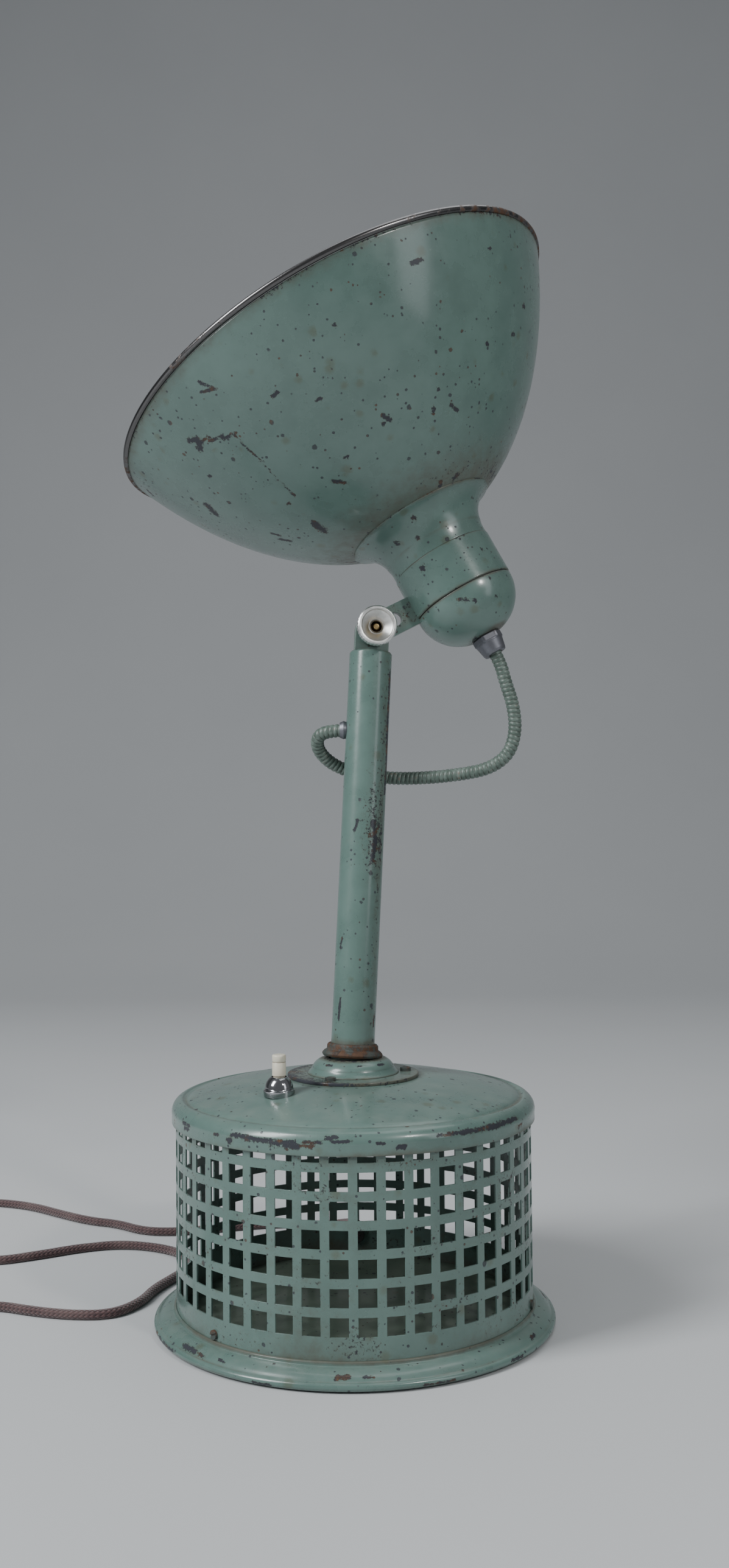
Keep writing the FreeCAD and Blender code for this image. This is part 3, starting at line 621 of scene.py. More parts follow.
def bump(tree, height, distance, strength=1.0, normal=None):
    inputs = {"Height": height, "Distance": distance, "Strength": strength}
    if normal is not None:
        inputs["Normal"] = normal
    return put(tree, "Bump", inputs).outputs[0]


# ---------------------------------------------------------------- materials
def enamel(name, light, dark, specks=1.0, gloss=0.23):
    """Old semi-gloss enamel: clouds, grime, dust, specks, chips down to dark primer and rust."""
    _, tree, shader = new_material(name)
    where = object_coords(tree)
    mottle = use_group(tree, "mottle", {"Vector": where, "Grime": field(tree, "grime")})
    chips = use_group(tree, "chips", {"Vector": where, "Wear": field(tree, "wear"), "Specks": specks})
    rust = use_group(tree, "rust", {"Vector": where})
    dust = use_group(tree, "dust", {"Vector": where})
    colour = blend_colour(tree, mottle["Cloud"], (*dark, 1), (*light, 1))
    colour = blend_colour(tree, calc(tree, "MULTIPLY", dust["Mask"], 0.16), colour, (0.42, 0.42, 0.37, 1))
    colour = blend_colour(tree, calc(tree, "MULTIPLY", mottle["Grime"], 0.72), colour,
                          (0.075, 0.058, 0.036, 1))
    colour = blend_colour(tree, calc(tree, "MULTIPLY", chips["Stain"], 0.45), colour,
                          (0.085, 0.088, 0.045, 1))
    colour = blend_colour(tree, calc(tree, "MULTIPLY", chips["Rim"], 0.30), colour, (0.10, 0.085, 0.05, 1))
    primer = blend_colour(tree, step_up(tree, noise(tree, where, 120.0, 3.0), 0.52, 0.64),
                          (0.024, 0.027, 0.036, 1), rust["Color"])
    colour = blend_colour(tree, chips["Mask"], colour, primer)
    tree.links.new(colour, shader.inputs["Base Color"])
    rough = calc(tree, "MULTIPLY_ADD", mottle["Cloud"], 0.10, gloss)
    rough = calc(tree, "ADD", rough, calc(tree, "MULTIPLY", mottle["Grime"], 0.30))
    rough = calc(tree, "ADD", rough, calc(tree, "MULTIPLY", dust["Mask"], 0.12))
    rough = calc(tree, "MAXIMUM", rough, calc(tree, "MULTIPLY", chips["Mask"], 0.78))
    tree.links.new(rough, shader.inputs["Roughness"])
    shader.inputs["Coat Weight"].default_value = 0.35
    shader.inputs["Coat Roughness"].default_value = 0.13
    smooth = bump(tree, mottle["Peel"], 0.00006, 0.55)
    depth = calc(tree, "SUBTRACT", calc(tree, "MULTIPLY", rust["Height"], 0.25), chips["Mask"])
    depth = calc(tree, "MULTIPLY", depth, calc(tree, "MAXIMUM", chips["Mask"], 0.02))
    tree.links.new(bump(tree, depth, 0.00022, 0.9, smooth), shader.inputs["Normal"])


def rusty_metal(name, clean, amount, metallic=1.0, rough_clean=0.34):
    """Bare or plated steel that rust has covered in patches; amount is how much."""
    _, tree, shader = new_material(name)
    where = object_coords(tree)
    rust = use_group(tree, "rust", {"Vector": where})
    cover = calc(tree, "ADD", noise(tree, where, 130.0, 6.0, 0.65),
                 calc(tree, "MULTIPLY", field(tree, "grime"), 0.5))
    mask = step_up(tree, cover, 0.62 - amount, 0.80 - amount)
    tone = blend_colour(tree, noise(tree, where, 900.0, 2.0), (*[c * 0.75 for c in clean], 1), (*clean, 1))
    tree.links.new(blend_colour(tree, mask, tone, rust["Color"]), shader.inputs["Base Color"])
    tree.links.new(calc(tree, "MULTIPLY", calc(tree, "SUBTRACT", 1.0, mask), metallic),
                   shader.inputs["Metallic"])
    tree.links.new(calc(tree, "MULTIPLY_ADD", mask, 0.75 - rough_clean, rough_clean),
                   shader.inputs["Roughness"])
    height = calc(tree, "MULTIPLY", rust["Height"], mask)
    tree.links.new(bump(tree, height, 0.00016, 0.8), shader.inputs["Normal"])


def metal(name, colour, roughness, grain_scale=700.0, dirt=0.25):
    """Plain metal with a fine grain and finger marks."""
    _, tree, shader = new_material(name)
    where = object_coords(tree)
    grain = noise(tree, where, grain_scale, 3.0)
    smear = step_up(tree, noise(tree, where, 90.0, 4.0, 0.6), 0.4, 0.72)
    tone = blend_colour(tree, calc(tree, "MULTIPLY", smear, dirt), (*colour, 1),
                        (*[c * 0.45 for c in colour], 1))
    tree.links.new(tone, shader.inputs["Base Color"])
    shader.inputs["Metallic"].default_value = 1.0
    tree.links.new(calc(tree, "MULTIPLY_ADD", smear, 0.18, roughness), shader.inputs["Roughness"])
    tree.links.new(bump(tree, grain, 0.00002, 0.5), shader.inputs["Normal"])


def turned_aluminium():
    """Lathe-turned face: fine rings about the bolt, greyed by age."""
    _, tree, shader = new_material("aluminium")
    where = object_coords(tree)
    _, along = uv_parts(tree)
    rings = calc(tree, "SINE", calc(tree, "MULTIPLY", along, 420.0))
    smear = step_up(tree, noise(tree, where, 240.0, 4.0), 0.42, 0.7)
    grime = step_up(tree, field(tree, "grime"), 0.2, 0.9)
    tone = blend_colour(tree, calc(tree, "MULTIPLY", smear, 0.35), (0.80, 0.80, 0.78, 1),
                        (0.50, 0.50, 0.48, 1))
    tone = blend_colour(tree, grime, tone, (0.10, 0.085, 0.06, 1))
    tree.links.new(tone, shader.inputs["Base Color"])
    tree.links.new(calc(tree, "MULTIPLY_ADD", grime, -0.6, 1.0), shader.inputs["Metallic"])
    tree.links.new(calc(tree, "MULTIPLY_ADD", smear, 0.15, 0.30), shader.inputs["Roughness"])
    tree.links.new(bump(tree, rings, 0.00003, 0.35), shader.inputs["Normal"])


def moulded(name, colour, second, roughness, peel=0.00004):
    """Moulded plastic, rubber or ceramic: slight colour drift, fine skin, grime in the creases."""
    _, tree, shader = new_material(name)
    where = object_coords(tree)
    drift = step_up(tree, noise(tree, where, 85.0, 5.0, 0.6), 0.35, 0.7)
    tone = blend_colour(tree, drift, (*colour, 1), (*second, 1))
    grime = step_up(tree, field(tree, "grime"), 0.25, 0.95)
    tone = blend_colour(tree, calc(tree, "MULTIPLY", grime, 0.8), tone, (0.10, 0.055, 0.028, 1))
    tree.links.new(tone, shader.inputs["Base Color"])
    tree.links.new(calc(tree, "MULTIPLY_ADD", drift, 0.12, roughness), shader.inputs["Roughness"])
    tree.links.new(bump(tree, noise(tree, where, 650.0, 3.0), peel, 0.6), shader.inputs["Normal"])


def hose_paint():
    """Painted armoured hose: enamel on the ribs, grime and bare metal between them."""
    _, tree, shader = new_material("conduit_sleeve")
    where = object_coords(tree)
    groove = field(tree, "groove")
    blotch = noise(tree, where, 230.0, 5.0, 0.6)
    tone = blend_colour(tree, step_up(tree, blotch, 0.4, 0.65), (0.085, 0.12, 0.10, 1),
                        (0.145, 0.19, 0.165, 1))
    tone = blend_colour(tree, step_up(tree, groove, 0.35, 0.9), tone, (0.045, 0.042, 0.032, 1))
    worn = calc(tree, "MULTIPLY", step_up(tree, blotch, 0.60, 0.72), step_up(tree, groove, 0.4, 0.1))
    tone = blend_colour(tree, worn, tone, (0.16, 0.14, 0.11, 1))
    tree.links.new(tone, shader.inputs["Base Color"])
    tree.links.new(calc(tree, "MULTIPLY_ADD", groove, 0.3, 0.38), shader.inputs["Roughness"])
    tree.links.new(bump(tree, noise(tree, where, 900.0, 3.0), 0.00005, 0.5), shader.inputs["Normal"])


def cord_cloth():
    """Brown-violet braided cotton."""
    _, tree, shader = new_material("cord_cloth")
    around, along = uv_parts(tree)
    braid = use_group(tree, "braid", {"U": around, "V": along})
    where = object_coords(tree)
    fuzz = noise(tree, where, 2600.0, 4.0)
    dusty = step_up(tree, noise(tree, where, 55.0, 4.0), 0.4, 0.7)
    tone = blend_colour(tree, braid["Strand"], (0.052, 0.026, 0.028, 1), (0.105, 0.056, 0.056, 1))
    tone = blend_colour(tree, calc(tree, "MULTIPLY", dusty, 0.35), tone, (0.17, 0.115, 0.105, 1))
    tree.links.new(tone, shader.inputs["Base Color"])
    shader.inputs["Roughness"].default_value = 0.92
    shader.inputs["Sheen Weight"].default_value = 0.35
    shader.inputs["Sheen Roughness"].default_value = 0.5
    height = calc(tree, "ADD", braid["Height"], calc(tree, "MULTIPLY", fuzz, 0.5))
    tree.links.new(bump(tree, height, 0.00035, 0.9), shader.inputs["Normal"])


def felt():
    _, tree, shader = new_material("felt")
    where = object_coords(tree)
    fibres = noise(tree, where, 1500.0, 6.0, 0.7)
    tree.links.new(blend_colour(tree, fibres, (0.03, 0.04, 0.035, 1), (0.09, 0.10, 0.09, 1)),
                   shader.inputs["Base Color"])
    shader.inputs["Roughness"].default_value = 0.95
    tree.links.new(bump(tree, fibres, 0.0003, 0.8), shader.inputs["Normal"])


def bulb_glass():
    """Thin clear glass with a faint, patchy frosting."""
    _, tree, shader = new_material("glass")
    where = object_coords(tree)
    haze = noise(tree, where, 60.0, 3.0)
    shader.inputs["Base Color"].default_value = (0.93, 0.94, 0.92, 1)
    tree.links.new(calc(tree, "MULTIPLY_ADD", haze, 0.12, 0.10), shader.inputs["Roughness"])
    shader.inputs["Transmission Weight"].default_value = 0.75
    shader.inputs["IOR"].default_value = 1.45
    tree.links.new(bump(tree, haze, 0.0001, 0.2), shader.inputs["Normal"])


def backdrop_paint():
    _, tree, shader = new_material("studio_floor")
    where = object_coords(tree)
    cloud = noise(tree, where, 2.0, 3.0)
    tree.links.new(blend_colour(tree, cloud, (0.50, 0.51, 0.52, 1), (0.55, 0.56, 0.565, 1)),
                   shader.inputs["Base Color"])
    shader.inputs["Roughness"].default_value = 0.8


class LAMP_OT_materials(bpy.types.Operator):
    """Make every material and give the kept CAD nodes theirs"""
    bl_idname = "lamp.materials"
    bl_label = "Materials"

    def execute(self, context):
        for make in (group_rust, group_chips, group_mottle, group_dust, group_braid):
            make()
        enamel("green_paint", (0.122, 0.195, 0.172), (0.097, 0.160, 0.140))
        # Darker copy of the green paint for the parts inside the base: the darkness is painted shade. Its extra
        # specks and higher roughness are the inside's wear.
        enamel("green_paint_inside", (0.11, 0.155, 0.115), (0.075, 0.11, 0.08), 1.4, 0.5)
        enamel("reflector_white", (0.72, 0.72, 0.67), (0.60, 0.60, 0.54), 0.5, 0.24)
        rusty_metal("zinc", (0.20, 0.205, 0.23), 0.0, 0.8, 0.48)
        rusty_metal("rusty_steel", (0.10, 0.12, 0.11), 0.14, 0.5, 0.5)
        rusty_metal("bare_rim", (0.17, 0.165, 0.165), -0.08, 1.0, 0.25)
        metal("chrome", (0.42, 0.42, 0.43), 0.10)
        metal("brass", (0.60, 0.44, 0.21), 0.28)
        turned_aluminium()
        moulded("ivory", (0.72, 0.68, 0.56), (0.64, 0.58, 0.44), 0.30)
        moulded("black_rubber", (0.020, 0.020, 0.020), (0.035, 0.034, 0.032), 0.55)
        moulded("bakelite", (0.030, 0.018, 0.012), (0.050, 0.028, 0.017), 0.24)
        moulded("porcelain", (0.62, 0.60, 0.54), (0.55, 0.52, 0.45), 0.28)
        moulded("fibre", (0.24, 0.10, 0.06), (0.18, 0.075, 0.045), 0.6)
        hose_paint()
        cord_cloth()
        felt()
        bulb_glass()
        backdrop_paint()
        slots = {part["node"]: part["material_slot"] for part in frame["record"]["subparts"]}
        for node, holder in frame["nodes"].items():
            holder.data.materials.clear()
            holder.data.materials.append(bpy.data.materials[slots[node]])
        return {"FINISHED"}


# ---------------------------------------------------------------- base
def near_lines(points, lines):
    """Field that is 1 on the marks, one half at their edge and 0 outside: lines are (points, radius)."""
    best = np.zeros(len(points))
    for line, radius in lines:
        spots = np.array(line, float).reshape(-1, 3)
        ends = list(zip(spots[:-1], spots[1:])) or [(spots[0], spots[0])]
        for a, b in ends:
            along = b - a
            size = max(along @ along, 1e-12)
            t = np.clip((points - a) @ along / size, 0, 1)
            distance = np.linalg.norm(points - a - t[:, None] * along, axis=1)
            best = np.maximum(best, 1 - distance / (2 * radius))
    return np.clip(best, 0, 1)


def ring_marks(radius, height, spots):
    """Marks on a turned part: spots are (degrees, height offset, length in degrees, radius), millimetres."""
    marks = []
    for degrees, lift, length, size in spots:
        steps = np.linspace(-length / 2, length / 2, 4 if length else 1)
        line = [np.array(polar(radius, degrees + d, height + lift)) * MM for d in steps]
        marks.append((line, size * MM))
    return marks


def fade(value, centre, width):
    """1 at the centre value, 0 beyond the width."""
    return np.clip(1 - np.abs(value - centre) / width, 0, 1)


def wavering(points, scale, seed):
    """Sum of a few sines in space: a smooth random field between about -1 and 1."""
    rng = np.random.default_rng(seed)
    total = np.zeros(len(points))
    for _ in range(6):
        direction = rng.normal(size=3)
        total += np.sin(points @ (direction / np.linalg.norm(direction)) * scale * rng.uniform(0.6, 1.6)
                        + rng.uniform(0, 6.3))
    return total / 3


class LAMP_OT_skirt(bpy.types.Operator):
    """Rolled foot skirt under the drum, with its three screws"""
    bl_idname = "lamp.skirt"
    bl_label = "Foot skirt"

    def execute(self, context):
        profile = rounded([
            (105.05, 12.5), (106.2, 11.9, 0.6), (106.6, 10.3, 0.8),
            *arc((106.9, 10.1), (111.5, 8.9), (115.2, 6.0)),
            *arc((116.0, 5.3), (117.9, 3.6), (115.8, 0.9)), (114.6, 1.2, 0.3), (114.6, 4.3, 0.2),
            (114.0, 5.3, 0.2),
            *arc((113.8, 5.5), (110.8, 7.6), (105.6, 9.3)), (105.05, 9.3, 0.2)])
        piece = lathe("foot_skirt_shell", profile, BASE, "base", "green_paint",
                      ["foot_skirt"], 300)
        at = vertices(piece)
        r, z = np.hypot(at[:, 0], at[:, 1]) / MM, at[:, 2] / MM
        joint = fade(z, 12.4, 2.2) * 0.75 + fade(r, 106.6, 1.8) * 0.35
        groove = fade(r, 115.7, 0.8) * (z > 4.5) * 0.85
        edge = fade(z, 2.0, 2.4) * (r > 115) * 0.45
        write_marks(piece, "grime", np.clip(joint + groove + edge, 0, 1)
                    * (0.75 + 0.35 * wavering(at, 60, 3)))
        spots = ring_marks(114.0, 7.2, [
            (-52, 0.0, 5, 1.5), (-46, -0.8, 3, 1.2), (-38, 0.6, 2, 1.0), (-3, 0.4, 3.5, 1.3),
            (4, 0.6, 2.5, 1.0),
            (60, 0.2, 2, 1.2), (97, 0, 6, 1.4), (150, 0, 5, 1.5), (203, 0, 3, 1.3), (250, -0.4, 8, 1.4)])
        spots += ring_marks(117.6, 3.2, [
            (-61, 0, 8, 0.9), (-24, -0.8, 5, 0.8), (22, -0.6, 9, 0.7), (48, 0, 5, 0.9), (118, 0, 9, 1.0),
            (176, 0, 7, 0.9), (290, 0, 7, 0.9)])
        write_marks(piece, "wear", near_lines(at, spots))
        for number, degrees in enumerate(SKIRT_SCREWS):
            outward = polar(1.0, degrees, 0.0)
            screw_head("skirt_screw_head_%d" % (number + 1), polar(DRUM_R, degrees, SCREW_Z), outward,
                       2.6, 1.6, "base", ["skirt_screw_%d" % (number + 1)], 25.0 + 50 * number)
        return {"FINISHED"}


class LAMP_OT_drum(bpy.types.Operator):
    """Perforated sheet: a cylinder grid with the hole cells left out, thickened and with soft edges"""
    bl_idname = "lamp.drum"
    bl_label = "Perforated drum"

    def execute(self, context):
        sheet = context.scene.lamp_sheet
        pitch, hole = sheet.pitch / MM, sheet.hole / MM
        step = 360.0 / sheet.columns
        half = math.degrees(math.asin(hole / 2 / DRUM_R))
        angles, is_hole = [], []
        for column in range(sheet.columns):
            middle = COLUMN_OFFSET + column * step
            angles += list(middle + half * np.linspace(-1, 1, 4)) + [middle + step / 2]
            is_hole += [True, True, True, False, False]
        heights, in_row = [DRUM_LOW, 8.0, SCREW_Z, 20.0], [False] * 4
        for row in range(sheet.rows):
            middle = FIRST_ROW_Z + row * pitch
            heights += [middle - hole / 2, middle + hole / 2]
            in_row += [True, False]
            if row < sheet.rows - 1:
                heights.append(middle + pitch / 2)
                in_row.append(False)
        heights.append(DRUM_HIGH)
        rows, columns = len(heights), len(angles)
        t, z = np.meshgrid(np.radians(angles), heights)
        jitter = RANDOM.normal(0, 0.035, (2, rows, columns))
        radius = np.full_like(z, DRUM_R)
        points = np.stack([radius * np.sin(t + jitter[0] / DRUM_R), -radius * np.cos(t + jitter[0] / DRUM_R),
                           z + jitter[1] * (z > DRUM_LOW + 1) * (z < DRUM_HIGH - 1)], -1)
        faces = grid_faces(rows, columns, False, True)
        i, j = faces[:, 0] // columns, faces[:, 0] % columns
        keep = ~(np.array(in_row)[i] & np.array(is_hole)[j])
        mesh = bpy.data.meshes.new("perforated_sheet")
        mesh.from_pydata((points * MM).reshape(-1, 3).tolist(), [], faces[keep].tolist())
        mesh.uv_layers.new(name="UVMap")
        nodes = ["drum_panel_%02d" % (k + 1) for k in range(11)]
        piece = finish_mesh("perforated_sheet", mesh, "base", "green_paint", nodes,
                            closed=False)
        at = vertices(piece)
        height = at[:, 2] / MM
        grime = fade(height, 3.0, 14.0) * 0.55 + fade(height, 119.0, 7.0) * 0.5 + 0.24
        write_marks(piece, "grime", np.clip(grime + 0.16 * wavering(at, 70, 5), 0, 1))
        write_marks(piece, "wear", np.clip(0.16 + 0.12 * wavering(at, 160, 8), 0, 1))
        thick = piece.modifiers.new("Sheet", "SOLIDIFY")
        thick.thickness = 1.0 * MM
        thick.offset = -1.0
        add_bevel(piece, 0.22, segments=2, angle=50.0)
        return {"FINISHED"}


class LAMP_OT_cover(bpy.types.Operator):
    """Pressed cover: lip, rounded shoulder, crease and shallow dome"""
    bl_idname = "lamp.cover"
    bl_label = "Base cover"

    def execute(self, context):
        shoulder = arc((107.2, 122.6), (105.3, 129.3), (101.2, 131.6), 14)
        crease = arc((101.2, 131.6), (99.0, 130.7), (97.0, 131.9), 6)[1:]
        dome = arc((97.0, 131.9), (69.5, 138.1), (38.0, 142.0), 16)[1:]
        under_dome = [(r, z - 1.0, 0.0) for r, z, _ in reversed(dome)]
        under = under_dome + [(99.2, 129.8, 0.0), (101.2, 130.5, 0.0), (104.4, 128.4, 0.0),
                              (106.2, 122.6, 0.0)]
        profile = rounded([(107.2, 118.0, 0.3), (107.2, 119.0, 0.0), *shoulder, *crease, *dome,
                           (14.0, 142.0), (14.0, 141.0), *under, (106.2, 118.0, 0.3)])
        piece = lathe("base_cover_shell", profile, BASE, "base", "green_paint",
                      ["base_cover"], 360)
        at = vertices(piece)
        r, z = np.hypot(at[:, 0], at[:, 1]) / MM, at[:, 2] / MM
        lip = fade(z, 118.0, 3.5) * 0.55
        crease_dirt = fade(r, 99.2, 2.4) * (z > 130.0) * 0.6
        around_flange = fade(r, FLANGE_R + 0.5, 6.0) * 0.75
        grime = lip + crease_dirt + around_flange + 0.10
        write_marks(piece, "grime", np.clip(grime * (0.8 + 0.4 * wavering(at, 55, 11)), 0, 1))
        marks = ring_marks(107.0, 124.6, [
            (-34, 0.8, 6, 1.2), (-28, 0.2, 8, 1.3), (-20, -0.4, 7, 1.7), (-17, -1.6, 4, 1.2),
            (-11, 0.6, 5, 0.9),
            (-3, 1.4, 5, 0.9), (8, 0, 2, 0.8), (-43, -0.5, 2, 1.0), (-60, 0, 5, 1.1), (118, 0, 9, 1.3),
            (170, 0, 4, 1.5), (214, 0, 8, 1.2), (262, 0, 5, 1.3)])
        marks += ring_marks(106.6, 126.4, [
            (31, 0.2, 12, 1.0), (37, -0.2, 7, 1.2), (47, 0.0, 9, 1.5), (56, 0.4, 6, 1.3), (-6, 1.4, 3, 1.1),
            (142, 0, 9, 1.2), (235, 0, 7, 1.2)])
        marks += ring_marks(107.2, 122.0, [
            (-38, 0.5, 1.5, 0.9), (-12, 1.5, 3, 0.9), (14, 0.6, 2, 0.8), (27, -1.0, 2.5, 0.8),
            (61, 0, 3, 1.0),
            (100, 0, 3, 1.2), (188, 0, 5, 1.1), (300, 0, 3, 1.2)])
        marks += ring_marks(72.0, 137.4, [(4, 0, 0, 0.9), (-9, 0, 0, 0.8), (38, 0, 2, 0.8), (150, 0, 4, 1.0)])
        marks += ring_marks(92.0, 132.9, [(47, 0, 0, 1.6), (52, 0, 2, 0.9), (29, 0, 0, 0.9),
                                          (-15, 0, 0, 0.8)])
        write_marks(piece, "wear", near_lines(at, marks))
        return {"FINISHED"}


class LAMP_OT_switch(bpy.types.Operator):
    """Chromed dome nut and ivory push button"""
    bl_idname = "lamp.switch"
    bl_label = "Switch"

    def execute(self, context):
        low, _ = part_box("switch_dome_nut")
        place = shifted(BASE, SWITCH_AT[0], SWITCH_AT[1], low[2] / MM)
        profile = rounded([
            (4.3, -2.4), (8.6, -2.4), (8.9, 0.0, 0.2), (8.9, 1.2, 0.4),
            *arc((8.0, 1.8), (7.0, 5.9), (4.6, 8.6)),
            (4.3, 8.6, 0.1)])
        nut = lathe("dome_nut", profile, place, "base", "chrome", ["switch_dome_nut"], 64)
        at = vertices(nut)
        write_marks(nut, "grime", np.zeros(len(at)))
        low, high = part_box("switch_button")
        place = shifted(BASE, SWITCH_AT[0], SWITCH_AT[1], low[2] / MM)
        top = (high[2] - low[2]) / MM
        profile = rounded([
            (0.0, 4.0, 0), (3.35, 4.0), (3.35, 8.6), (3.9, 9.2, 0.3), (3.9, top - 4.6, 0),
            (3.72, top - 4.3, 0.1),
            (3.72, top - 4.0, 0.1), (3.9, top - 3.7, 0), (3.9, top, 0.9), (0.0, top, 0)])
        button = lathe("push_button", profile, place, "button", "ivory", ["switch_button"], 48)
        height = (vertices(button)[:, 2] - high[2]) / MM
        ring = fade(height, -4.15, 0.55) * 0.9
        worn = fade(height, -12.0, 3.5) * 0.5 + fade(height, 0.0, 0.7) * 0.22
        write_marks(button, "grime", np.clip(ring + worn, 0, 1))
        return {"FINISHED"}


class LAMP_OT_hub(bpy.types.Operator):
    """Flange with screws, turned hub and the rusty collar the post stands in"""
    bl_idname = "lamp.hub"
    bl_label = "Hub"

    def execute(self, context):
        top = FLANGE_Z + FLANGE_T
        profile = rounded([(14.5, FLANGE_Z), (FLANGE_R, FLANGE_Z, 0.3), (FLANGE_R, top, 0.7), (14.5, top)])
        flange = lathe("flange_disc", profile, BASE, "base", "green_paint", ["post_flange"],
                       200)
        at = vertices(flange)
        r = np.hypot(at[:, 0], at[:, 1]) / MM
        turn = np.degrees(np.arctan2(at[:, 0], -at[:, 1]))
        rim = fade(r, FLANGE_R, 1.8)
        write_marks(flange, "grime", np.clip(rim * 0.8 + fade(r, 28.0, 5.0) * 0.6 + 0.25, 0, 1))
        left = np.clip(np.cos(np.radians(turn + 75)), 0, 1)
        rust = rim * (0.45 + 0.3 * left) + left * fade(r, 36.0, 7.0) * 0.55
        write_marks(flange, "wear", np.clip(rust * (0.9 + 0.35 * wavering(at, 150, 21)), 0, 1))
        for number, degrees in enumerate(FLANGE_SCREWS):
            screw_head("flange_screw_head_%d" % (number + 1), polar(FLANGE_SCREW_AT, degrees, top), (0, 0, 1),
                       3.2, 2.2, "base", ["flange_screw_%d" % (number + 1)], 60.0 + 41 * number)
        profile = rounded([
            (14.4, top), (27.2, top, 0.3), *arc((27.2, top + 0.3), (25.6, top + 1.8), (24.4, top + 3.4), 8),
            (24.2, top + 4.0, 0.4), *arc((24.0, top + 4.4), (21.3, top + 7.4), (16.6, 153.0), 10),
            (14.4, 153.0)])
        hub = lathe("hub_turning", profile, BASE, "base", "green_paint", ["post_hub"], 160)
        at = vertices(hub)
        r, z = np.hypot(at[:, 0], at[:, 1]) / MM, at[:, 2] / MM
        foot = fade(z, top, 1.6) * 0.9 + fade(z, top + 3.9, 0.9) * 0.4 + fade(z, 153.0, 2.0) * 0.9
        write_marks(hub, "grime", np.clip(foot, 0, 1))
        marks = ring_marks(22.0, top + 6.5, [(-40, 0, 9, 0.8), (10, 0.3, 6, 0.7), (48, 0, 12, 0.9),
                                             (150, 0, 20, 1.0)])
        write_marks(hub, "wear", np.clip(near_lines(at, marks) + fade(z, 153.0, 1.6) * 0.5, 0, 1))
        profile = rounded([
            (13.05, -8.4), (17.4, -7.6, 0.5), (18.2, -6.2, 0.8), (17.0, -4.6, 0.5), (15.4, -3.6, 0.6),
            (15.2, -1.2, 0.5),
            (14.4, -0.2, 0.4), (13.05, 0.0)])
        collar = lathe("collar_ring", profile, POST, "base", "rusty_steel", ["hub_collar"], 96)
        write_marks(collar, "grime", 0.3 + 0.2 * wavering(vertices(collar), 200, 4))
        return {"FINISHED"}


BAND_AT = 46.0            # degrees from the front: the long rubbed band down the post
SPREAD_AT = 22.0          # degrees from the front: the specked place beside it
SPREAD_DEPTH = 0.42       # how bare the specked place is
RUBBED_MID, RUBBED_HIGH = 128.0, 205.0     # heights up the post where the band is widest
POST_SCRATCHES = [
    # (degrees, height) points, half width
    ([(62, 150), (66, 168), (60, 186), (63, 224)], 1.5),
    ([(20, 132), (30, 120), (22, 110)], 1.7),
    ([(-30, 126), (-22, 133)], 0.9),
    ([(-52, 14), (-50, 26)], 0.8),
    ([(55, 10), (60, 18)], 0.9),
    ([(-60, 56), (-52, 62)], 0.8),
    ([(180, 60), (190, 90)], 1.2),
    ([(240, 170), (235, 196)], 1.3)]


class LAMP_OT_post(bpy.types.Operator):
    """Leaning tube"""
    bl_idname = "lamp.post"
    bl_label = "Post"

    def execute(self, context):
        heights = np.linspace(-POST_SUNK + 1, POST_TOP - 2.4, 130)
        inner = POST_R - POST_WALL
        profile = rounded([
            (inner, -POST_SUNK), (POST_R, -POST_SUNK), *[(POST_R, h, 0.0) for h in heights],
            (POST_R, POST_TOP - 1.2, 0.5), (POST_R - 0.9, POST_TOP, 0.5), (inner, POST_TOP, 0.3)])
        piece = lathe("post_pipe", profile, POST, "base", "green_paint", ["post_tube"], 120)
        local = (vertices(piece) - POST[:3, 3]) @ POST[:3, :3] / MM
        h = local[:, 2]
        turn = np.degrees(np.arctan2(local[:, 0], -local[:, 1]))
        right = np.clip(1.3 - np.abs(turn - BAND_AT) / 22.0, 0, 1)
        middle = np.clip(1 - np.abs(h - RUBBED_MID) / 70.0, 0, 1)
        upper = np.clip(1 - np.abs(h - RUBBED_HIGH) / 42.0, 0, 1)
        band = right * (0.22 + 0.12 * upper + 0.10 * middle)
        spread = np.clip(1 - np.abs(turn - SPREAD_AT) / 60.0, 0, 1) * middle * SPREAD_DEPTH
        patches = 0.5 + 0.5 * wavering(local, 0.11, 31)
        wear = np.maximum(band, spread) * (0.75 + 0.70 * patches)
        lines = [([polar(POST_R, *spot) for spot in line], size) for line, size in POST_SCRATCHES]
        wear = np.maximum(wear, near_lines(local, lines))
        write_marks(piece, "wear", np.clip(wear * (h > 0), 0, 1))
        foot = fade(h, 0.0, 5.0) * 0.8 + fade(h, POST_TOP, 2.5) * 0.4
        write_marks(piece, "grime", np.clip(foot + right * 0.30 + middle * 0.14 + 0.08, 0, 1))
        return {"FINISHED"}


# ---------------------------------------------------------------- pivot
def round_end_bar(radius, end, count=24):
    """Outline of a bar with a half-round end at the origin, running to x = end."""
    angles = np.linspace(math.pi / 2, 3 * math.pi / 2, count)
    return [(end, radius), *[(radius * math.cos(a), radius * math.sin(a)) for a in angles], (end, -radius)]


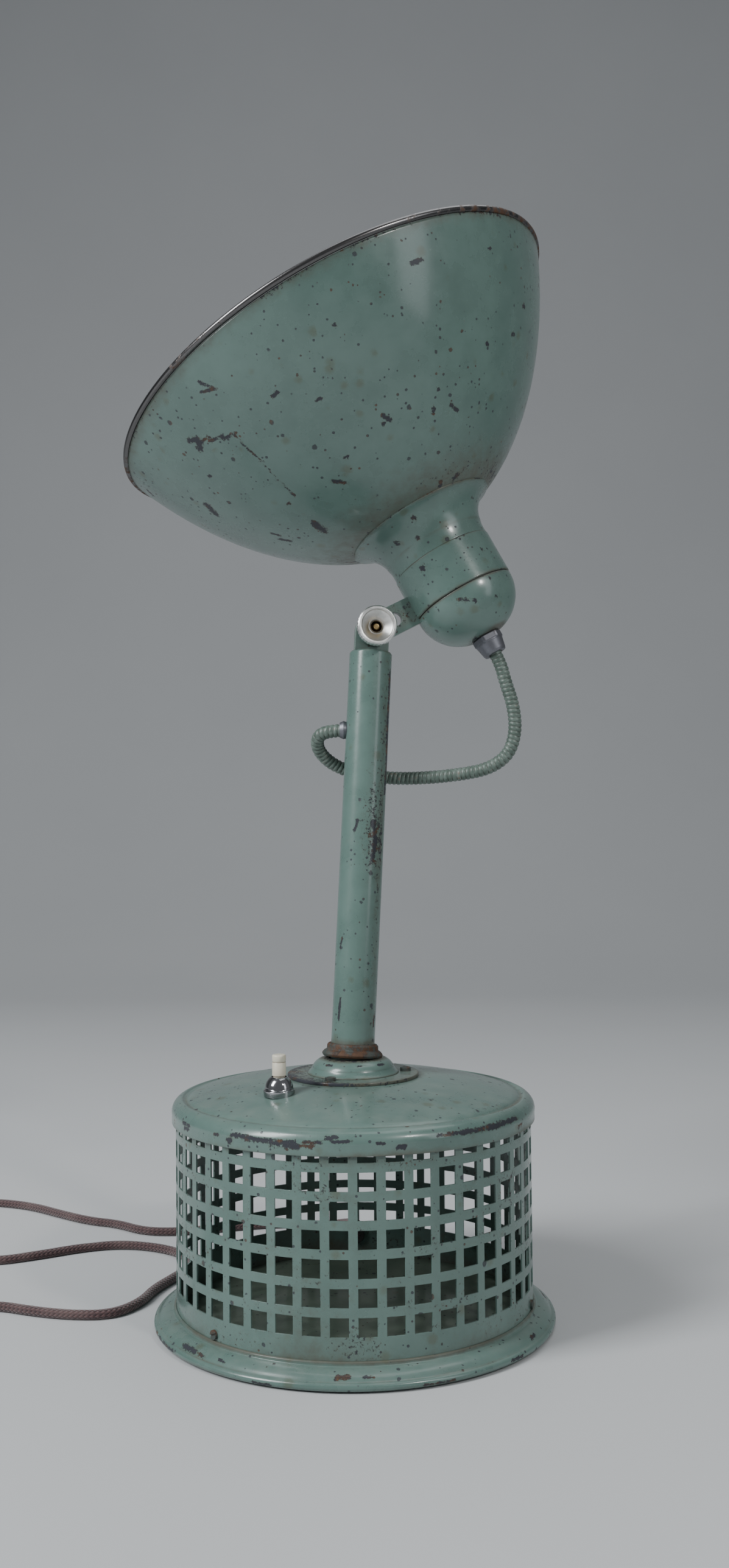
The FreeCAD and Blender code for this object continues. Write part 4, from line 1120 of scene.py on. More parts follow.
class LAMP_OT_pivot(bpy.types.Operator):
    """Ear on the post, arm on the head, bolt, washer and clamp knob"""
    bl_idname = "lamp.pivot"
    bl_label = "Pivot"

    def execute(self, context):
        ear_outline = [(y, -x) for x, y in round_end_bar(EAR_W / 2, EAR_DROP)]
        ear = plate("post_ear_plate", [ear_outline, circle(BOLT_R + 0.1)], EAR_T, FORK, "base",
                    "green_paint", ["post_ear"], 0.6)
        self.mark(ear, 0.45, 0.15)
        plug = lathe("post_end_plug", rounded([
            (0.0, POST_TOP - 12.0, 0), (POST_R - POST_WALL - 0.05, POST_TOP - 12.0),
            (POST_R - POST_WALL - 0.05, POST_TOP + 0.2, 0.5), (0.0, POST_TOP + 0.3, 0)]),
            POST, "base", "green_paint", [], 64)
        self.mark(plug, 0.5, 0.25)
        arm_y = -(EAR_T / 2 + GAP + ARM_T / 2)
        arm = plate("head_arm_plate", [round_end_bar(ARM_W / 2, ARM_REACH), circle(BOLT_R + 0.1),
                                       circle(4.2, 32, (15.0, 0.0))], ARM_T, shifted(ARM, y=arm_y), "head",
                    "green_paint", ["head_arm"], 0.6)
        self.mark(arm, 0.4, 0.12)
        front = -(EAR_T / 2 + GAP + ARM_T + GAP)
        along_bolt = placing(PIVOT, FORK[:3, 0], -FORK[:3, 2], FORK[:3, 1])
        tip = front - KNOB_L + 3.2
        stud = rounded([(0.0, tip, 0), (1.3, tip, 0.3), (1.9, tip + 0.9, 0.3), (2.2, tip + 3.0, 0.3),
                        (BOLT_R - 0.05, tip + 4.2, 0.3), (BOLT_R - 0.05, EAR_T / 2 + 1.0),
                        (0.0, EAR_T / 2 + 1.0, 0)])
        stud = lathe("clamp_stud", stud, along_bolt, "base", "brass", [], 40)
        self.mark(stud, 0.0, 0.0)
        hexagon = [(5.8 * math.cos(a), 5.8 * math.sin(a)) for a in np.radians(np.arange(0, 360, 60))]
        head = plate("bolt_head", [hexagon], 4.2, shifted(FORK, y=EAR_T / 2 + 2.1), "base", "zinc",
                     ["pivot_bolt"], 0.5)
        self.mark(head, 0.2, 0.0)
        washer = rounded([(BOLT_R + 0.1, front - 1.2), (7.5, front - 1.2, 0.3), (7.5, front, 0.3),
                          (BOLT_R + 0.1, front)])
        washer = lathe("knob_washer_ring", washer, along_bolt, "base", "zinc", ["knob_washer"], 64)
        self.mark(washer, 0.3, 0.0)
        self.knob(front - 1.2 - GAP)
        return {"FINISHED"}

    def mark(self, piece, grime, wear):
        at = vertices(piece)
        write_marks(piece, "grime", np.clip(grime + 0.2 * wavering(at, 230, 13), 0, 1) if grime
                    else np.zeros(len(at)))
        write_marks(piece, "wear", np.clip(wear + 0.25 * wavering(at, 320, 17), 0, 1) if wear
                    else np.zeros(len(at)))

    def knob(self, back):
        """Turned knob with a conical recess, a bright rounded rim and a coin-edged band."""
        outline = [
            (BOLT_R + 0.3, 6.0, 0.2), (4.6, 6.0, 0.4), (5.2, 5.4, 0.3), (9.2, 1.3, 0.5), (9.9, 0.2, 0.3),
            (11.0, 0.0, 0.5),
            (KNOB_R, 1.0, 0.6), (KNOB_R, 5.5, 0.4), (9.4, 13.2, 0.6), (8.8, 15.0, 0.4),
            (BOLT_R + 0.3, 15.0, 0.2)]
        profile = np.array(rounded(outline, steps=4))
        profile[:, 1] += back - KNOB_L
        sectors = 288
        points = lathe_points(profile, sectors)
        t = np.arange(sectors) * 2 * math.pi / sectors
        depth = profile[:, 1] - (back - KNOB_L)
        band = (profile[:, 0] > 11.0) & (depth > 0.9) & (depth < 6.2)
        groove = 0.32 * np.clip(np.cos(36 * t), 0, 1) ** 2
        scale = 1 - band[:, None] * groove[None] / KNOB_R
        points[..., :2] *= scale[..., None]
        place = placing(PIVOT, FORK[:3, 0], -FORK[:3, 2], FORK[:3, 1])
        mesh = grid_mesh("clamp_knob_turning", transform(points, place), True, True, (1.0, 1.0))
        knob = finish_mesh("clamp_knob_turning", mesh, "knob", "aluminium", ["clamp_knob"])
        local = (vertices(knob) - PIVOT) @ place[:3, :3] / MM
        r = np.hypot(local[:, 0], local[:, 1])
        deep = (local[:, 2] - (back - KNOB_L)) / 6.0
        write_marks(knob, "grime", np.clip(
            fade(r, 3.0, 2.6) * (deep > 0.7) * 1.3 + fade(r, 9.6, 0.7) * (deep < 0.35) * 0.25, 0, 1))
        write_marks(knob, "wear", np.zeros(len(r)))


# ---------------------------------------------------------------- head
def bowl_radius(s):
    """Outside radius at depth s: the conic r^2 = R^2 - A s - B s^2."""
    return np.sqrt(BOWL_MOUTH_R ** 2 - BOWL_A * s - BOWL_B * s * s)


def bowl_curve(inset, count):
    """Evenly spaced points (r, -s) of the conic, moved inwards along its normal."""
    s = np.linspace(BOWL_START, BOWL_END, 2000)
    r = bowl_radius(s)
    slope = -(BOWL_A + 2 * BOWL_B * s) / (2 * r)
    size = np.hypot(1, slope)
    line = np.stack([r - inset / size, -(s + inset * slope / size)], -1)
    length = np.concatenate([[0], np.cumsum(np.linalg.norm(np.diff(line, axis=0), axis=1))])
    wanted = np.linspace(0, length[-1], count)
    return np.stack([np.interp(wanted, length, line[:, k]) for k in range(2)], -1)


def on_bowl(spots):
    """Points of the bowl's outside from (depth, degrees) pairs, degrees from the head's +X towards its +Y."""
    found = []
    for s, degrees in spots:
        r, t = float(bowl_radius(s)), math.radians(degrees)
        found.append((r * math.cos(t), r * math.sin(t), -s))
    return found


FLAKE_S = 34.0            # depth of the flaked patch behind the mouth
FLAKE_AT = -150.0         # its place round the bowl, degrees
ZIGZAG_LEGS = 6           # short legs of the tear that leaves the patch
ZIGZAG_REACH = 12.0       # how far the tear climbs
CRACK_END = 84.0          # depth where the crack that carries on from it fades out
SCRATCH_S = 16.0          # the short hooked scratch between the patch and the rim
RUBBED = [(53.0, -171.0), (97.0, -153.0)]   # two broad rubbed places, (depth, degrees)
PATCH_WIDE = (3.6, 1.6)   # half size of the patch, millimetres deep and degrees round
LEG_SWING = 1.3           # degrees that each leg swings to its side
TEAR_TURN = 10.0          # degrees that the tear goes round
CHIPS, CHIP_SEED = 54, 23
CHIP_SIZES = (0.7, 1.5)
CHIP_RUN = 7.0            # longest chip


def bowl_wear_lines():
    """Worn lines with their half widths: patch, tear, crack, scratch, rubs and loose chips."""
    turn = np.linspace(0, 2 * math.pi, 7)
    patch = [(FLAKE_S + PATCH_WIDE[0] * math.sin(a), FLAKE_AT + PATCH_WIDE[1] * math.cos(2 * a))
             for a in turn]
    legs = np.arange(ZIGZAG_LEGS + 1) / ZIGZAG_LEGS
    side = np.where(np.arange(ZIGZAG_LEGS + 1) % 2, LEG_SWING, -LEG_SWING)
    tear = [(FLAKE_S + 1.0 + ZIGZAG_REACH * f, FLAKE_AT + 1.5 + TEAR_TURN * f + k)
            for f, k in zip(legs, side)]
    top = tear[-1]
    crack = [top, (top[0] + 14.0, top[1] - 0.6), (CRACK_END, top[1] - 4.5)]
    hook = [(SCRATCH_S, FLAKE_AT + 14.0), (SCRATCH_S + 8.0, FLAKE_AT + 16.0),
            (SCRATCH_S + 4.0, FLAKE_AT + 12.5)]
    lines = [(patch, 1.9), (tear, 0.9), (crack, 0.7), (hook, 0.8)]
    lines += [([(s, a), (s + 5.0, a - 3.0)], 2.4) for s, a in RUBBED]
    draw = np.random.default_rng(CHIP_SEED)
    for _ in range(CHIPS):
        s, a = draw.uniform(12.0, BOWL_END - 4.0), draw.uniform(-180.0, 180.0)
        run = draw.uniform(0.0, CHIP_RUN) * draw.integers(0, 2)
        end = (min(s + run, BOWL_END - 2.0), a + draw.uniform(-3.0, 3.0))
        lines.append(([(s, a), end], draw.uniform(*CHIP_SIZES)))
    return [(on_bowl(line), size) for line, size in lines]


class LAMP_OT_bowl(bpy.types.Operator):
    """Deep bowl: enamel outside with chips and soft dents, white lining, and the bare rolled rim"""
    bl_idname = "lamp.bowl"
    bl_label = "Bowl"

    def execute(self, context):
        wear = context.scene.lamp_wear
        outer = bowl_curve(0.0, wear.bowl_rings)
        inner = bowl_curve(1.0, 24)[::-1]
        profile = np.concatenate([outer, inner])
        points = transform(lathe_points(profile, wear.bowl_sectors), HEAD)
        shape = points.shape
        flat = points.reshape(-1, 3)
        outward = flat - HEAD[:3, 3] - ((flat - HEAD[:3, 3]) @ FACE)[:, None] * FACE
        outward /= np.linalg.norm(outward, axis=1, keepdims=True)
        local = (flat - HEAD[:3, 3]) @ HEAD[:3, :3] / MM
        calm = np.clip((-local[:, 2] - BOWL_START) / 25, 0, 1) * np.clip((BOWL_END + local[:, 2]) / 20, 0, 1)
        flat = flat + outward * (wavering(flat, 38, 41) * calm * wear.dents)[:, None]
        mesh = grid_mesh("bowl_shell", flat.reshape(shape), True, True)
        sections = np.repeat(np.arange(len(profile)), wear.bowl_sectors)
        lining = ((sections >= wear.bowl_rings) & (sections < len(profile) - 1)).astype(np.int32)
        mesh.polygons.foreach_set("material_index", lining)
        piece = finish_mesh("bowl_shell", mesh, "head", "green_paint", ["bowl"])
        piece.data.materials.append(bpy.data.materials["reflector_white"])
        local = (vertices(piece) - HEAD[:3, 3]) @ HEAD[:3, :3] / MM
        outside = np.hypot(local[:, 0], local[:, 1]) > bowl_radius(np.clip(-local[:, 2], 0, BOWL_END)) - 0.5
        field_value = near_lines(local, bowl_wear_lines())
        depth = -local[:, 2]
        rim = fade(depth, BOWL_START, 4.0) * (0.34 + 0.2 * wavering(local, 0.09, 51))
        low_side = np.clip(1 - np.abs(depth - 112.0) / 9.0, 0, 1) * (0.22 + 0.25 * wavering(local, 0.12, 52))
        write_marks(piece, "wear", np.where(outside, np.clip(np.maximum(field_value, rim + low_side), 0, 1),
                                            0.0))
        grime = fade(depth, BOWL_START, 9.0) * 0.5 + fade(depth, BOWL_END, 26.0) * 0.75 + 0.06
        grime += 0.10 * np.clip(wavering(local, 0.03, 53), 0, 1)
        write_marks(piece, "grime", np.clip(np.where(outside, grime, 0.25), 0, 1))
        self.bead()
        return {"FINISHED"}

    def bead(self):
        """Rolled rim: a full round section, turned round the bowl's axis."""
        ring_r = float(bowl_radius(BOWL_START))
        around = np.linspace(0, 2 * math.pi, 20, endpoint=False)
        profile = [(ring_r + BEAD_R * math.cos(a), -BEAD_R + BEAD_R * math.sin(a)) for a in around]
        bead = lathe("rim_bead", profile, HEAD, "head", "bare_rim", ["bowl_rim_bead"], 400)
        at = vertices(bead)
        write_marks(bead, "grime", np.clip(0.25 + 0.5 * wavering(at, 30, 61), 0, 1))


class LAMP_OT_neck(bpy.types.Operator):
    """Fitter, neck housing, end cap and gland behind the bowl"""
    bl_idname = "lamp.neck"
    bl_label = "Neck"

    def execute(self, context):
        inner = NECK_R - 1.6
        fitter = rounded([
            (46.9, -114.3, 0.2), (47.0, -115.5, 0.4),
            *arc((46.2, -116.0), (36.8, -122.6), (32.3, -133.0), 12),
            (NECK_R, -136.0, 0.0), (NECK_R, -142.0, 0.2), (inner, -142.0), (inner, -125.4), (37.9, -120.9),
            (38.9, -117.9)])
        self.turned("bowl_fitter_shell", fitter, ["bowl_fitter"], 81, [(-115, 2.2), (-134, 2.0)])
        neck = rounded([
            (inner, -142.0), (NECK_R + 0.2, -142.0, 0.2), (NECK_R + 0.5, -142.6, 0.3),
            *[(NECK_R + 0.5, -h, 0.0) for h in np.linspace(145, 166, 12)],
            (NECK_R + 0.5, -SEAM_S + 0.6, 0.4), (NECK_R, -SEAM_S, 0.3), (inner, -SEAM_S)])
        self.turned("neck_shell", neck, ["neck_housing"], 82, [(-SEAM_S, 2.2), (-142, 1.4)])
        ring = rounded([(inner - 0.2, -SEAM_S - 1.2), (NECK_R - 0.5, -SEAM_S - 1.2),
                        (NECK_R - 0.5, -SEAM_S + 0.4),
                        (inner - 0.2, -SEAM_S + 0.4)])
        ring = lathe("seam_ring", ring, HEAD, "head", "black_rubber", ["cap_spigot_ring"], 96)
        write_marks(ring, "grime", np.zeros(len(ring.data.vertices)))
        r0, tip = NECK_R + 0.3, CAP_S + CAP_DEPTH
        dome = arc((r0, -CAP_S - 1.0), (r0 * 0.74, -CAP_S - CAP_DEPTH * 0.74), (10.0, -tip), 26)
        cap = rounded([(r0 - 1.6, -CAP_S), (r0, -CAP_S, 0.4), *dome, (5.0, -tip, 0.2), (5.0, -tip + 1.6),
                       (9.4, -tip + 1.6, 0), (r0 * 0.74 - 1.3, -CAP_S - CAP_DEPTH * 0.74 + 1.2, 0),
                       (r0 - 1.6, -CAP_S - 1.0, 0)])
        self.turned("neck_cap_shell", cap, ["neck_end_cap"], 83, [(-CAP_S, 2.0), (-tip, 2.5)])
        self.gland(GLAND_S)
        return {"FINISHED"}

    def turned(self, name, profile, nodes, seed, dirty):
        piece = lathe(name, profile, HEAD, "head", "green_paint", nodes, 180)
        local = (vertices(piece) - HEAD[:3, 3]) @ HEAD[:3, :3] / MM
        grime = 0.10 + sum(fade(local[:, 2], height, reach) * 0.8 for height, reach in dirty)
        write_marks(piece, "grime", np.clip(grime * (0.85 + 0.3 * wavering(local, 0.2, seed)), 0, 1))
        edges = sum(fade(local[:, 2], height, reach * 0.7) for height, reach in dirty)
        edges = edges * (0.34 + 0.26 * wavering(local, 0.25, seed + 9))
        spots = {"neck_shell": [(148, -130, 2.0), (155, -60, 0.9), (160, 30, 1.2), (150, 150, 1.4)],
                 "bowl_fitter_shell": [(121, -110, 1.6), (127, -140, 1.7), (131, -118, 1.4),
                                       (122, -40, 1.3), (124, 70, 1.5)],
                 "neck_cap_shell": [(176, -112, 1.2), (178, -106, 1.5), (181, -98, 1.4), (173, -70, 0.9),
                                    (184, -70, 0.9),
                                    (180, 60, 1.3)]}[name]
        marks = []
        for s, degrees, size in spots:
            t = math.radians(degrees)
            reach = float(np.hypot(local[:, 0], local[:, 1])[np.argmin(np.abs(local[:, 2] + s))])
            marks.append(([(reach * math.cos(t), reach * math.sin(t), -s)], size))
        write_marks(piece, "wear", np.clip(np.maximum(edges, near_lines(local, marks)), 0, 1))

    def gland(self, s):
        """Conical nut with six soft flats and a rolled end."""
        outline = [(CONDUIT_R + 0.1, -s, 0.2), (8.6, -s, 0.3), (9.6, -s - 0.8, 0.4), (9.6, -s - 4.0, 0.7),
                   (8.6, -s - 5.2, 0.4),
                   (7.4, -s - 11.0, 0.3), (6.8, -s - 12.5, 0.5), (CONDUIT_R + 0.1, -s - 12.5, 0.3)]
        profile = np.array(rounded(outline))
        sectors = 96
        points = lathe_points(profile, sectors)
        t = np.arange(sectors) * 2 * math.pi / sectors
        flat = np.cos(math.pi / 6) / np.cos((t + math.pi / 6) % (math.pi / 3) - math.pi / 6)
        flat = np.minimum(flat * 1.03, 1.0)
        wide = (profile[:, 0] > 8.0) & (-profile[:, 1] - s < 4.9)
        points[..., :2] *= np.where(wide[:, None], flat[None], 1.0)[..., None]
        mesh = grid_mesh("gland_nut", transform(points, HEAD), True, True)
        nut = finish_mesh("gland_nut", mesh, "head", "zinc", ["cable_gland"])
        write_marks(nut, "grime", np.clip(0.15 + 0.2 * wavering(vertices(nut), 240, 71), 0, 1))


class LAMP_OT_bulb(bpy.types.Operator):
    """Porcelain holder and a clear globe bulb with its screw base, stem and filament"""
    bl_idname = "lamp.bulb"
    bl_label = "Bulb"

    def execute(self, context):
        holder = rounded([
            (0, -150, 0), (21, -150, 0.8), (21, -121, 0.8), (24.5, -118, 1.0), (24.5, -98, 1.2),
            (22.6, -96, 0.8),
            (18.0, -96, 0.8), (18.0, -119.9, 0.5), (0, -119.9, 0)])
        holder = lathe("holder_body", holder, HEAD, "head", "porcelain", ["lamp_holder"], 96)
        local = (vertices(holder) - HEAD[:3, 3]) @ HEAD[:3, :3] / MM
        write_marks(holder, "grime", fade(local[:, 2], -119.0, 3.0) * 0.5 + fade(local[:, 2], -96.0, 1.5)
                    * 0.35)
        height = np.linspace(-119.8, -94.0, 90)
        thread = 13.0 + 0.45 * np.sin((height + 119.8) / 3.6 * 2 * math.pi) * (
            (height > -116) & (height < -96))
        base = [(11.5, -94.0, 0), (11.5, -119.0, 0), (13.0, -119.8, 0)]
        base += [(float(r), float(h), 0) for r, h in zip(thread, height)]
        base = lathe("screw_shell", rounded(base), HEAD, "head", "brass", ["bulb_screw_base"], 64)
        write_marks(base, "grime", np.zeros(len(base.data.vertices)))
        ball_r, ball_s = 37.0, 42.0
        turn = np.linspace(0, math.radians(125), 40)
        ball = [(ball_r * math.sin(a), ball_r * math.cos(a) - ball_s, 0) for a in turn]
        neck = arc((ball[-1][0], ball[-1][1]), (19.5, -77.5), (13.0, -90.0), 12)[1:]
        outside = [*ball, *neck, (13.0, -93.6, 0)]
        inside = [(max(r - 0.6, 0.0), h - (0.6 if r < 20 and h > -30 else 0.0), 0)
                  for r, h, _ in reversed(outside)]
        lathe("bulb_globe", rounded(outside + inside), HEAD, "head", "glass", ["bulb_glass"], 96)
        stem = rounded([(0, -94, 0), (9.0, -94, 0.5), (4.0, -84, 2.0), (3.2, -64, 1.2), (4.2, -60, 0.8),
                        (0, -59, 0)])
        lathe("bulb_stem", stem, HEAD, "head", "glass", [], 32)
        self.filament()
        return {"FINISHED"}

    def filament(self):
        """Two support wires and a coiled wire hung between them as an arch."""
        t = np.linspace(0, math.pi, 9)
        arch = [(-13 * math.cos(a), 0.0, -46 + 12 * math.sin(a)) for a in t]
        route = [(-2.0, 0, -62), (-8.0, 0, -54)] + arch + [(8.0, 0, -54), (2.0, 0, -62)]
        path, _ = smooth_path(transform(np.array(route), HEAD).tolist(), 0.0005)
        side, up = path_frames(path)
        turn = np.arange(len(path)) * 1.2
        reach = np.clip(np.minimum(np.arange(len(path)), np.arange(len(path))[::-1]) / 24 - 1, 0, 1) * 0.0008
        coil = path + (side * np.cos(turn)[:, None] + up * np.sin(turn)[:, None]) * reach[:, None]
        mesh = sweep("bulb_filament", coil, np.full((len(coil), 6), 0.00022), 6, 1.0)
        wire = finish_mesh("bulb_filament", mesh, "head", "zinc", [])
        write_marks(wire, "grime", np.zeros(len(wire.data.vertices)))


# ---------------------------------------------------------------- conduit and cord
CONDUIT_POINTS = [
    (94.8, 12.6, 378.0), (99.6, 12.6, 363.5), (101.0, 12.8, 348.0), (97.0, 13.4, 333.6), (85.0, 14.6, 324.8),
    (68.0, 17.6, 321.6), (48.0, 22.4, 319.8), (28.0, 27.4, 319.6), (8.0, 30.4, 321.8), (-10.0, 29.0, 327.6),
    (-20.4, 23.4, 337.0), (-20.4, 15.6, 346.4), (-10.0, 12.0, 349.0), (5.0, 12.0, 349.0)]
CORD_POINTS = [
    (0, 101, 18.4), (0, 132, 18.4), (-6, 161, 10.5), (-24, 181, 2.9), (-50, 187, 2.9),
    (-78, 183, 2.9), (-106, 174, 2.9), (-131, 168, 2.9), (-153, 171, 2.9), (-174, 190, 2.9),
    (-196, 198, 2.9), (-222, 218, 2.9), (-248, 240, 2.9), (-276, 252, 2.9), (-302, 254, 2.9),
    (-322, 240, 2.9), (-328, 212, 2.9), (-318, 178, 2.9), (-296, 146, 2.9), (-272, 116, 2.9),
    (-244, 101, 2.9), (-214, 116, 2.9), (-190, 131, 2.9), (-164, 139, 2.9), (-138, 132, 2.9),
    (-117, 116, 2.9), (-107, 93, 2.9), (-115, 68, 2.9), (-126, 42, 2.9), (-130, 18, 2.9),
    (-144, -3, 2.9), (-168, -3, 2.9), (-192, 4, 2.9), (-216, 15, 2.9), (-240, 14, 2.9),
    (-262, 5, 2.9)]
TAIL_POINTS = [(-319.2, -59, 6.6), (-317.5, -76, 6.4), (-315, -92, 8.2), (-314, -106, 9)]
COIL_TURNS = 3.25
TURN_POINTS = 16


def coil_points():
    """Flat coil of two layers: inwards along the surface, up, and outwards on top."""
    points = []
    count = int(COIL_TURNS * TURN_POINTS)
    for k in range(count + 1):
        turns = k / TURN_POINTS
        angle = math.radians(90) + turns * 2 * math.pi
        lower = max(37.8 - 5.8 * turns, 26.2)
        upper = min(29.1 + 5.8 * (turns - 2.35), 34.9)
        lift = min(max((turns - 2.0) / 0.35, 0.0), 1.0)
        lift = lift * lift * (3 - 2 * lift)
        radius = lower + (upper - lower) * lift
        points.append((COIL_AT[0] + radius * math.cos(angle), COIL_AT[1] + radius * math.sin(angle),
                       2.9 + 5.0 * lift))
    return points


class LAMP_OT_conduit(bpy.types.Operator):
    """Armoured hose: a wound strip whose ribs climb round it, swept along one route from the gland to the bush"""
    bl_idname = "lamp.conduit"
    bl_label = "Conduit"

    def execute(self, context):
        hose = context.scene.lamp_hose
        tip = RIM - FACE * (GLAND_S + 1.0) * MM
        out = RIM - FACE * (GLAND_S + 17.5) * MM
        points = [tuple(tip), tuple(out)] + [tuple(np.array(p) * MM) for p in CONDUIT_POINTS]
        path, length = smooth_path(points, 0.00045)
        sectors = 28
        t = np.arange(sectors) / sectors
        along = np.linspace(0, length, len(path))
        phase = (along[:, None] / hose.rib_pitch + t[None]) % 1.0
        groove = np.clip(1 - np.abs(phase - 0.5) / 0.22, 0, 1) ** 1.5
        crown = 0.25 * (1 - np.cos((phase - 0.5) * 2 * math.pi)) / 2
        radius = CONDUIT_R * MM - hose.rib_depth * (groove + (0.25 - crown))
        mesh = sweep("conduit_hose", path, radius, sectors, 1.0)
        piece = finish_mesh("conduit_hose", mesh, None, "conduit_sleeve", ["conduit"])
        at = vertices(piece)
        values = np.concatenate([np.zeros(1), groove.reshape(-1), np.zeros(1)])
        if len(values) != len(at):
            values = self.groove_by_place(at, path, hose.rib_depth)
        write_marks(piece, "groove", values)
        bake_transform(piece)
        self.bushing()
        return {"FINISHED"}

    def groove_by_place(self, at, path, depth):
        """Groove field measured from each vertex's distance to the path."""
        nearest = np.empty(len(at))
        for k in range(0, len(at), 2000):
            gap = np.linalg.norm(at[k:k + 2000, None] - path[None], axis=2)
            nearest[k:k + 2000] = gap.min(axis=1)
        return np.clip((CONDUIT_R * MM - nearest) / depth - 0.1, 0, 1)

    def bushing(self):
        """Zinc-finished bush where the hose enters the post's left side."""
        centre = np.array(BUSHING_AT) * MM
        place = placing(centre, (0, 1, 0), (0, 0, 1), (1, 0, 0))
        low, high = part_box("conduit_bushing")
        left, right = (low[0] - centre[0]) / MM, (high[0] - centre[0]) / MM
        profile = rounded([(CONDUIT_R + 0.1, left), (4.6, left, 0.2), (5.1, left + 1.2, 0.6),
                           (5.6, left + 2.4, 0.4),
                           (4.9, left + 4.4, 0.2), (4.9, right), (CONDUIT_R + 0.1, right)])
        bush = lathe("hose_bush", profile, place, "base", "zinc", ["conduit_bushing"], 64)
        write_marks(bush, "grime", np.zeros(len(bush.data.vertices)))


class LAMP_OT_cord(bpy.types.Operator):
    """Braided mains cord from the grommet to the plug, with its coil held by a strap"""
    bl_idname = "lamp.cord"
    bl_label = "Mains cord"

    def execute(self, context):
        route = [tuple(np.array(p) * MM) for p in CORD_POINTS + coil_points() + TAIL_POINTS]
        path, length = smooth_path(route, 0.0016)
        sectors = 14
        lumps = 1 + 0.035 * wavering(path, 240, 91)[:, None] + 0 * np.arange(sectors)[None]
        mesh = sweep("mains_cord_braid", path, CORD_DIAMETER / 2 * np.minimum(lumps, 1.0), sectors, 1.0)
        cord = finish_mesh("mains_cord_braid", mesh, "base", "cord_cloth",
                           ["mains_cord", "cord_coil", "cord_tail"])
        pieces = [self.plug(), *self.pins(), self.strap()]
        self.grommet()
        return {"FINISHED"}

    def plug(self):
        """Round plug body with finger ribs and a tapered sleeve for the cord."""
        place = placing(np.array(PLUG_AT) * MM, (1, 0, 0), (0, 0, 1), (0, -1, 0))
        ribs = []
        for k in range(5):
            h = 13.0 + k * 3.2
            ribs += [(8.6, h, 0.25), (9.0, h + 0.7, 0.3), (9.0, h + 1.9, 0.3), (8.6, h + 2.6, 0.25)]
        profile = rounded([(3.0, 0.0, 0.3), (4.2, 0.0, 0.6), (5.0, 3.0, 0.6), (7.4, 8.0, 1.0),
                           (8.9, 10.5, 1.5), *ribs,
                           (8.9, 31.0, 0.3), (8.9, 34.0, 1.0), (0.0, 34.0, 0), (0.0, 1.0, 0),
                           (3.0, 1.0, 0.2)])
        body = lathe("plug_moulding", profile, place, "base", "bakelite", ["plug_body"], 64)
        write_marks(body, "grime", np.zeros(len(body.data.vertices)))
        return body

    def pins(self):
        made = []
        for number, dx in enumerate((-6.3, 6.3)):
            place = shifted(placing(np.array(PLUG_AT) * MM, (1, 0, 0), (0, 0, 1), (0, -1, 0)), x=dx)
            profile = rounded([(0.0, 30.0, 0), (2.4, 30.0, 0.2), (2.4, 44.0, 0.1), (2.2, 44.6, 0.1),
                               (2.4, 45.2, 0.1),
                               (2.4, 53.0, 1.8), (0.0, 53.0, 0)], steps=5)
            pin = lathe("plug_prong_%d" % (number + 1), profile, place, "base", "brass",
                        ["plug_pin_%d" % (number + 1)], 32)
            made.append(pin)
        return made

    def strap(self):
        """Flat rubber strap round the bundle."""
        low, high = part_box("cord_tie")
        centre = (np.array(low) + np.array(high)) / 2
        half = (np.array(high) - np.array(low)) / 2 / MM

        def loop(grow, corner):
            w, h = half[0] + grow, half[2] + grow
            points = []
            for sx, sz, first in ((1, 1, 0), (-1, 1, 90), (-1, -1, 180), (1, -1, 270)):
                for a in np.radians(np.linspace(first, first + 90, 7)):
                    points.append((sx * (w - corner) + corner * math.cos(a),
                                   sz * (h - corner) + corner * math.sin(a)))
            return points

        place = placing(centre, (1, 0, 0), (0, 1, 0), (0, 0, 1))
        strap = plate("cord_strap", [loop(0.0, 3.2), loop(-0.75, 2.5)], 6.0, place, "base",
                      "black_rubber", ["cord_tie"], 0.25)
        write_marks(strap, "grime", np.zeros(len(strap.data.vertices)))
        return strap

    def grommet(self):
        """Rubber grommet in the drum with a ribbed, tapered bend sleeve."""
        place = placing(np.array((0, DRUM_R, CORD_EXIT_Z)) * MM, (1, 0, 0), (0, 0, -1), (0, 1, 0))
        ribs = []
        for k in range(5):
            h = 4.2 + k * 3.4
            r = 5.0 - k * 0.22
            ribs += [(r, h, 0.3), (r, h + 1.9, 0.3), (r - 0.7, h + 2.3, 0.2), (r - 0.7, h + 3.2, 0.2)]
        profile = rounded([(2.95, -4.0), (5.6, -4.0, 0.5), (5.6, -1.4, 0.4), (4.4, -1.2, 0.2),
                           (4.4, 0.1, 0.2),
                           (5.6, 0.3, 0.4), (5.6, 2.0, 0.6), (5.0, 3.2, 0.4), *ribs, (3.5, 22.0, 0.3),
                           (2.95, 22.0, 0.1)])
        sleeve = lathe("cord_sleeve", profile, place, "base", "black_rubber",
                       ["cord_grommet"], 64)
        write_marks(sleeve, "grime", np.zeros(len(sleeve.data.vertices)))


# ---------------------------------------------------------------- stage
def area_light(name, at, towards, size, power, colour):
    data = bpy.data.lights.new(name, "AREA")
    data.shape = "RECTANGLE"
    data.size, data.size_y = size
    data.energy = power
    data.color = colour
    lamp = bpy.data.objects.new(name, data)
    bpy.context.scene.collection.objects.link(lamp)
    lamp.location = at
    lamp.rotation_euler = (Vector(towards) - Vector(at)).to_track_quat("-Z", "Y").to_euler()


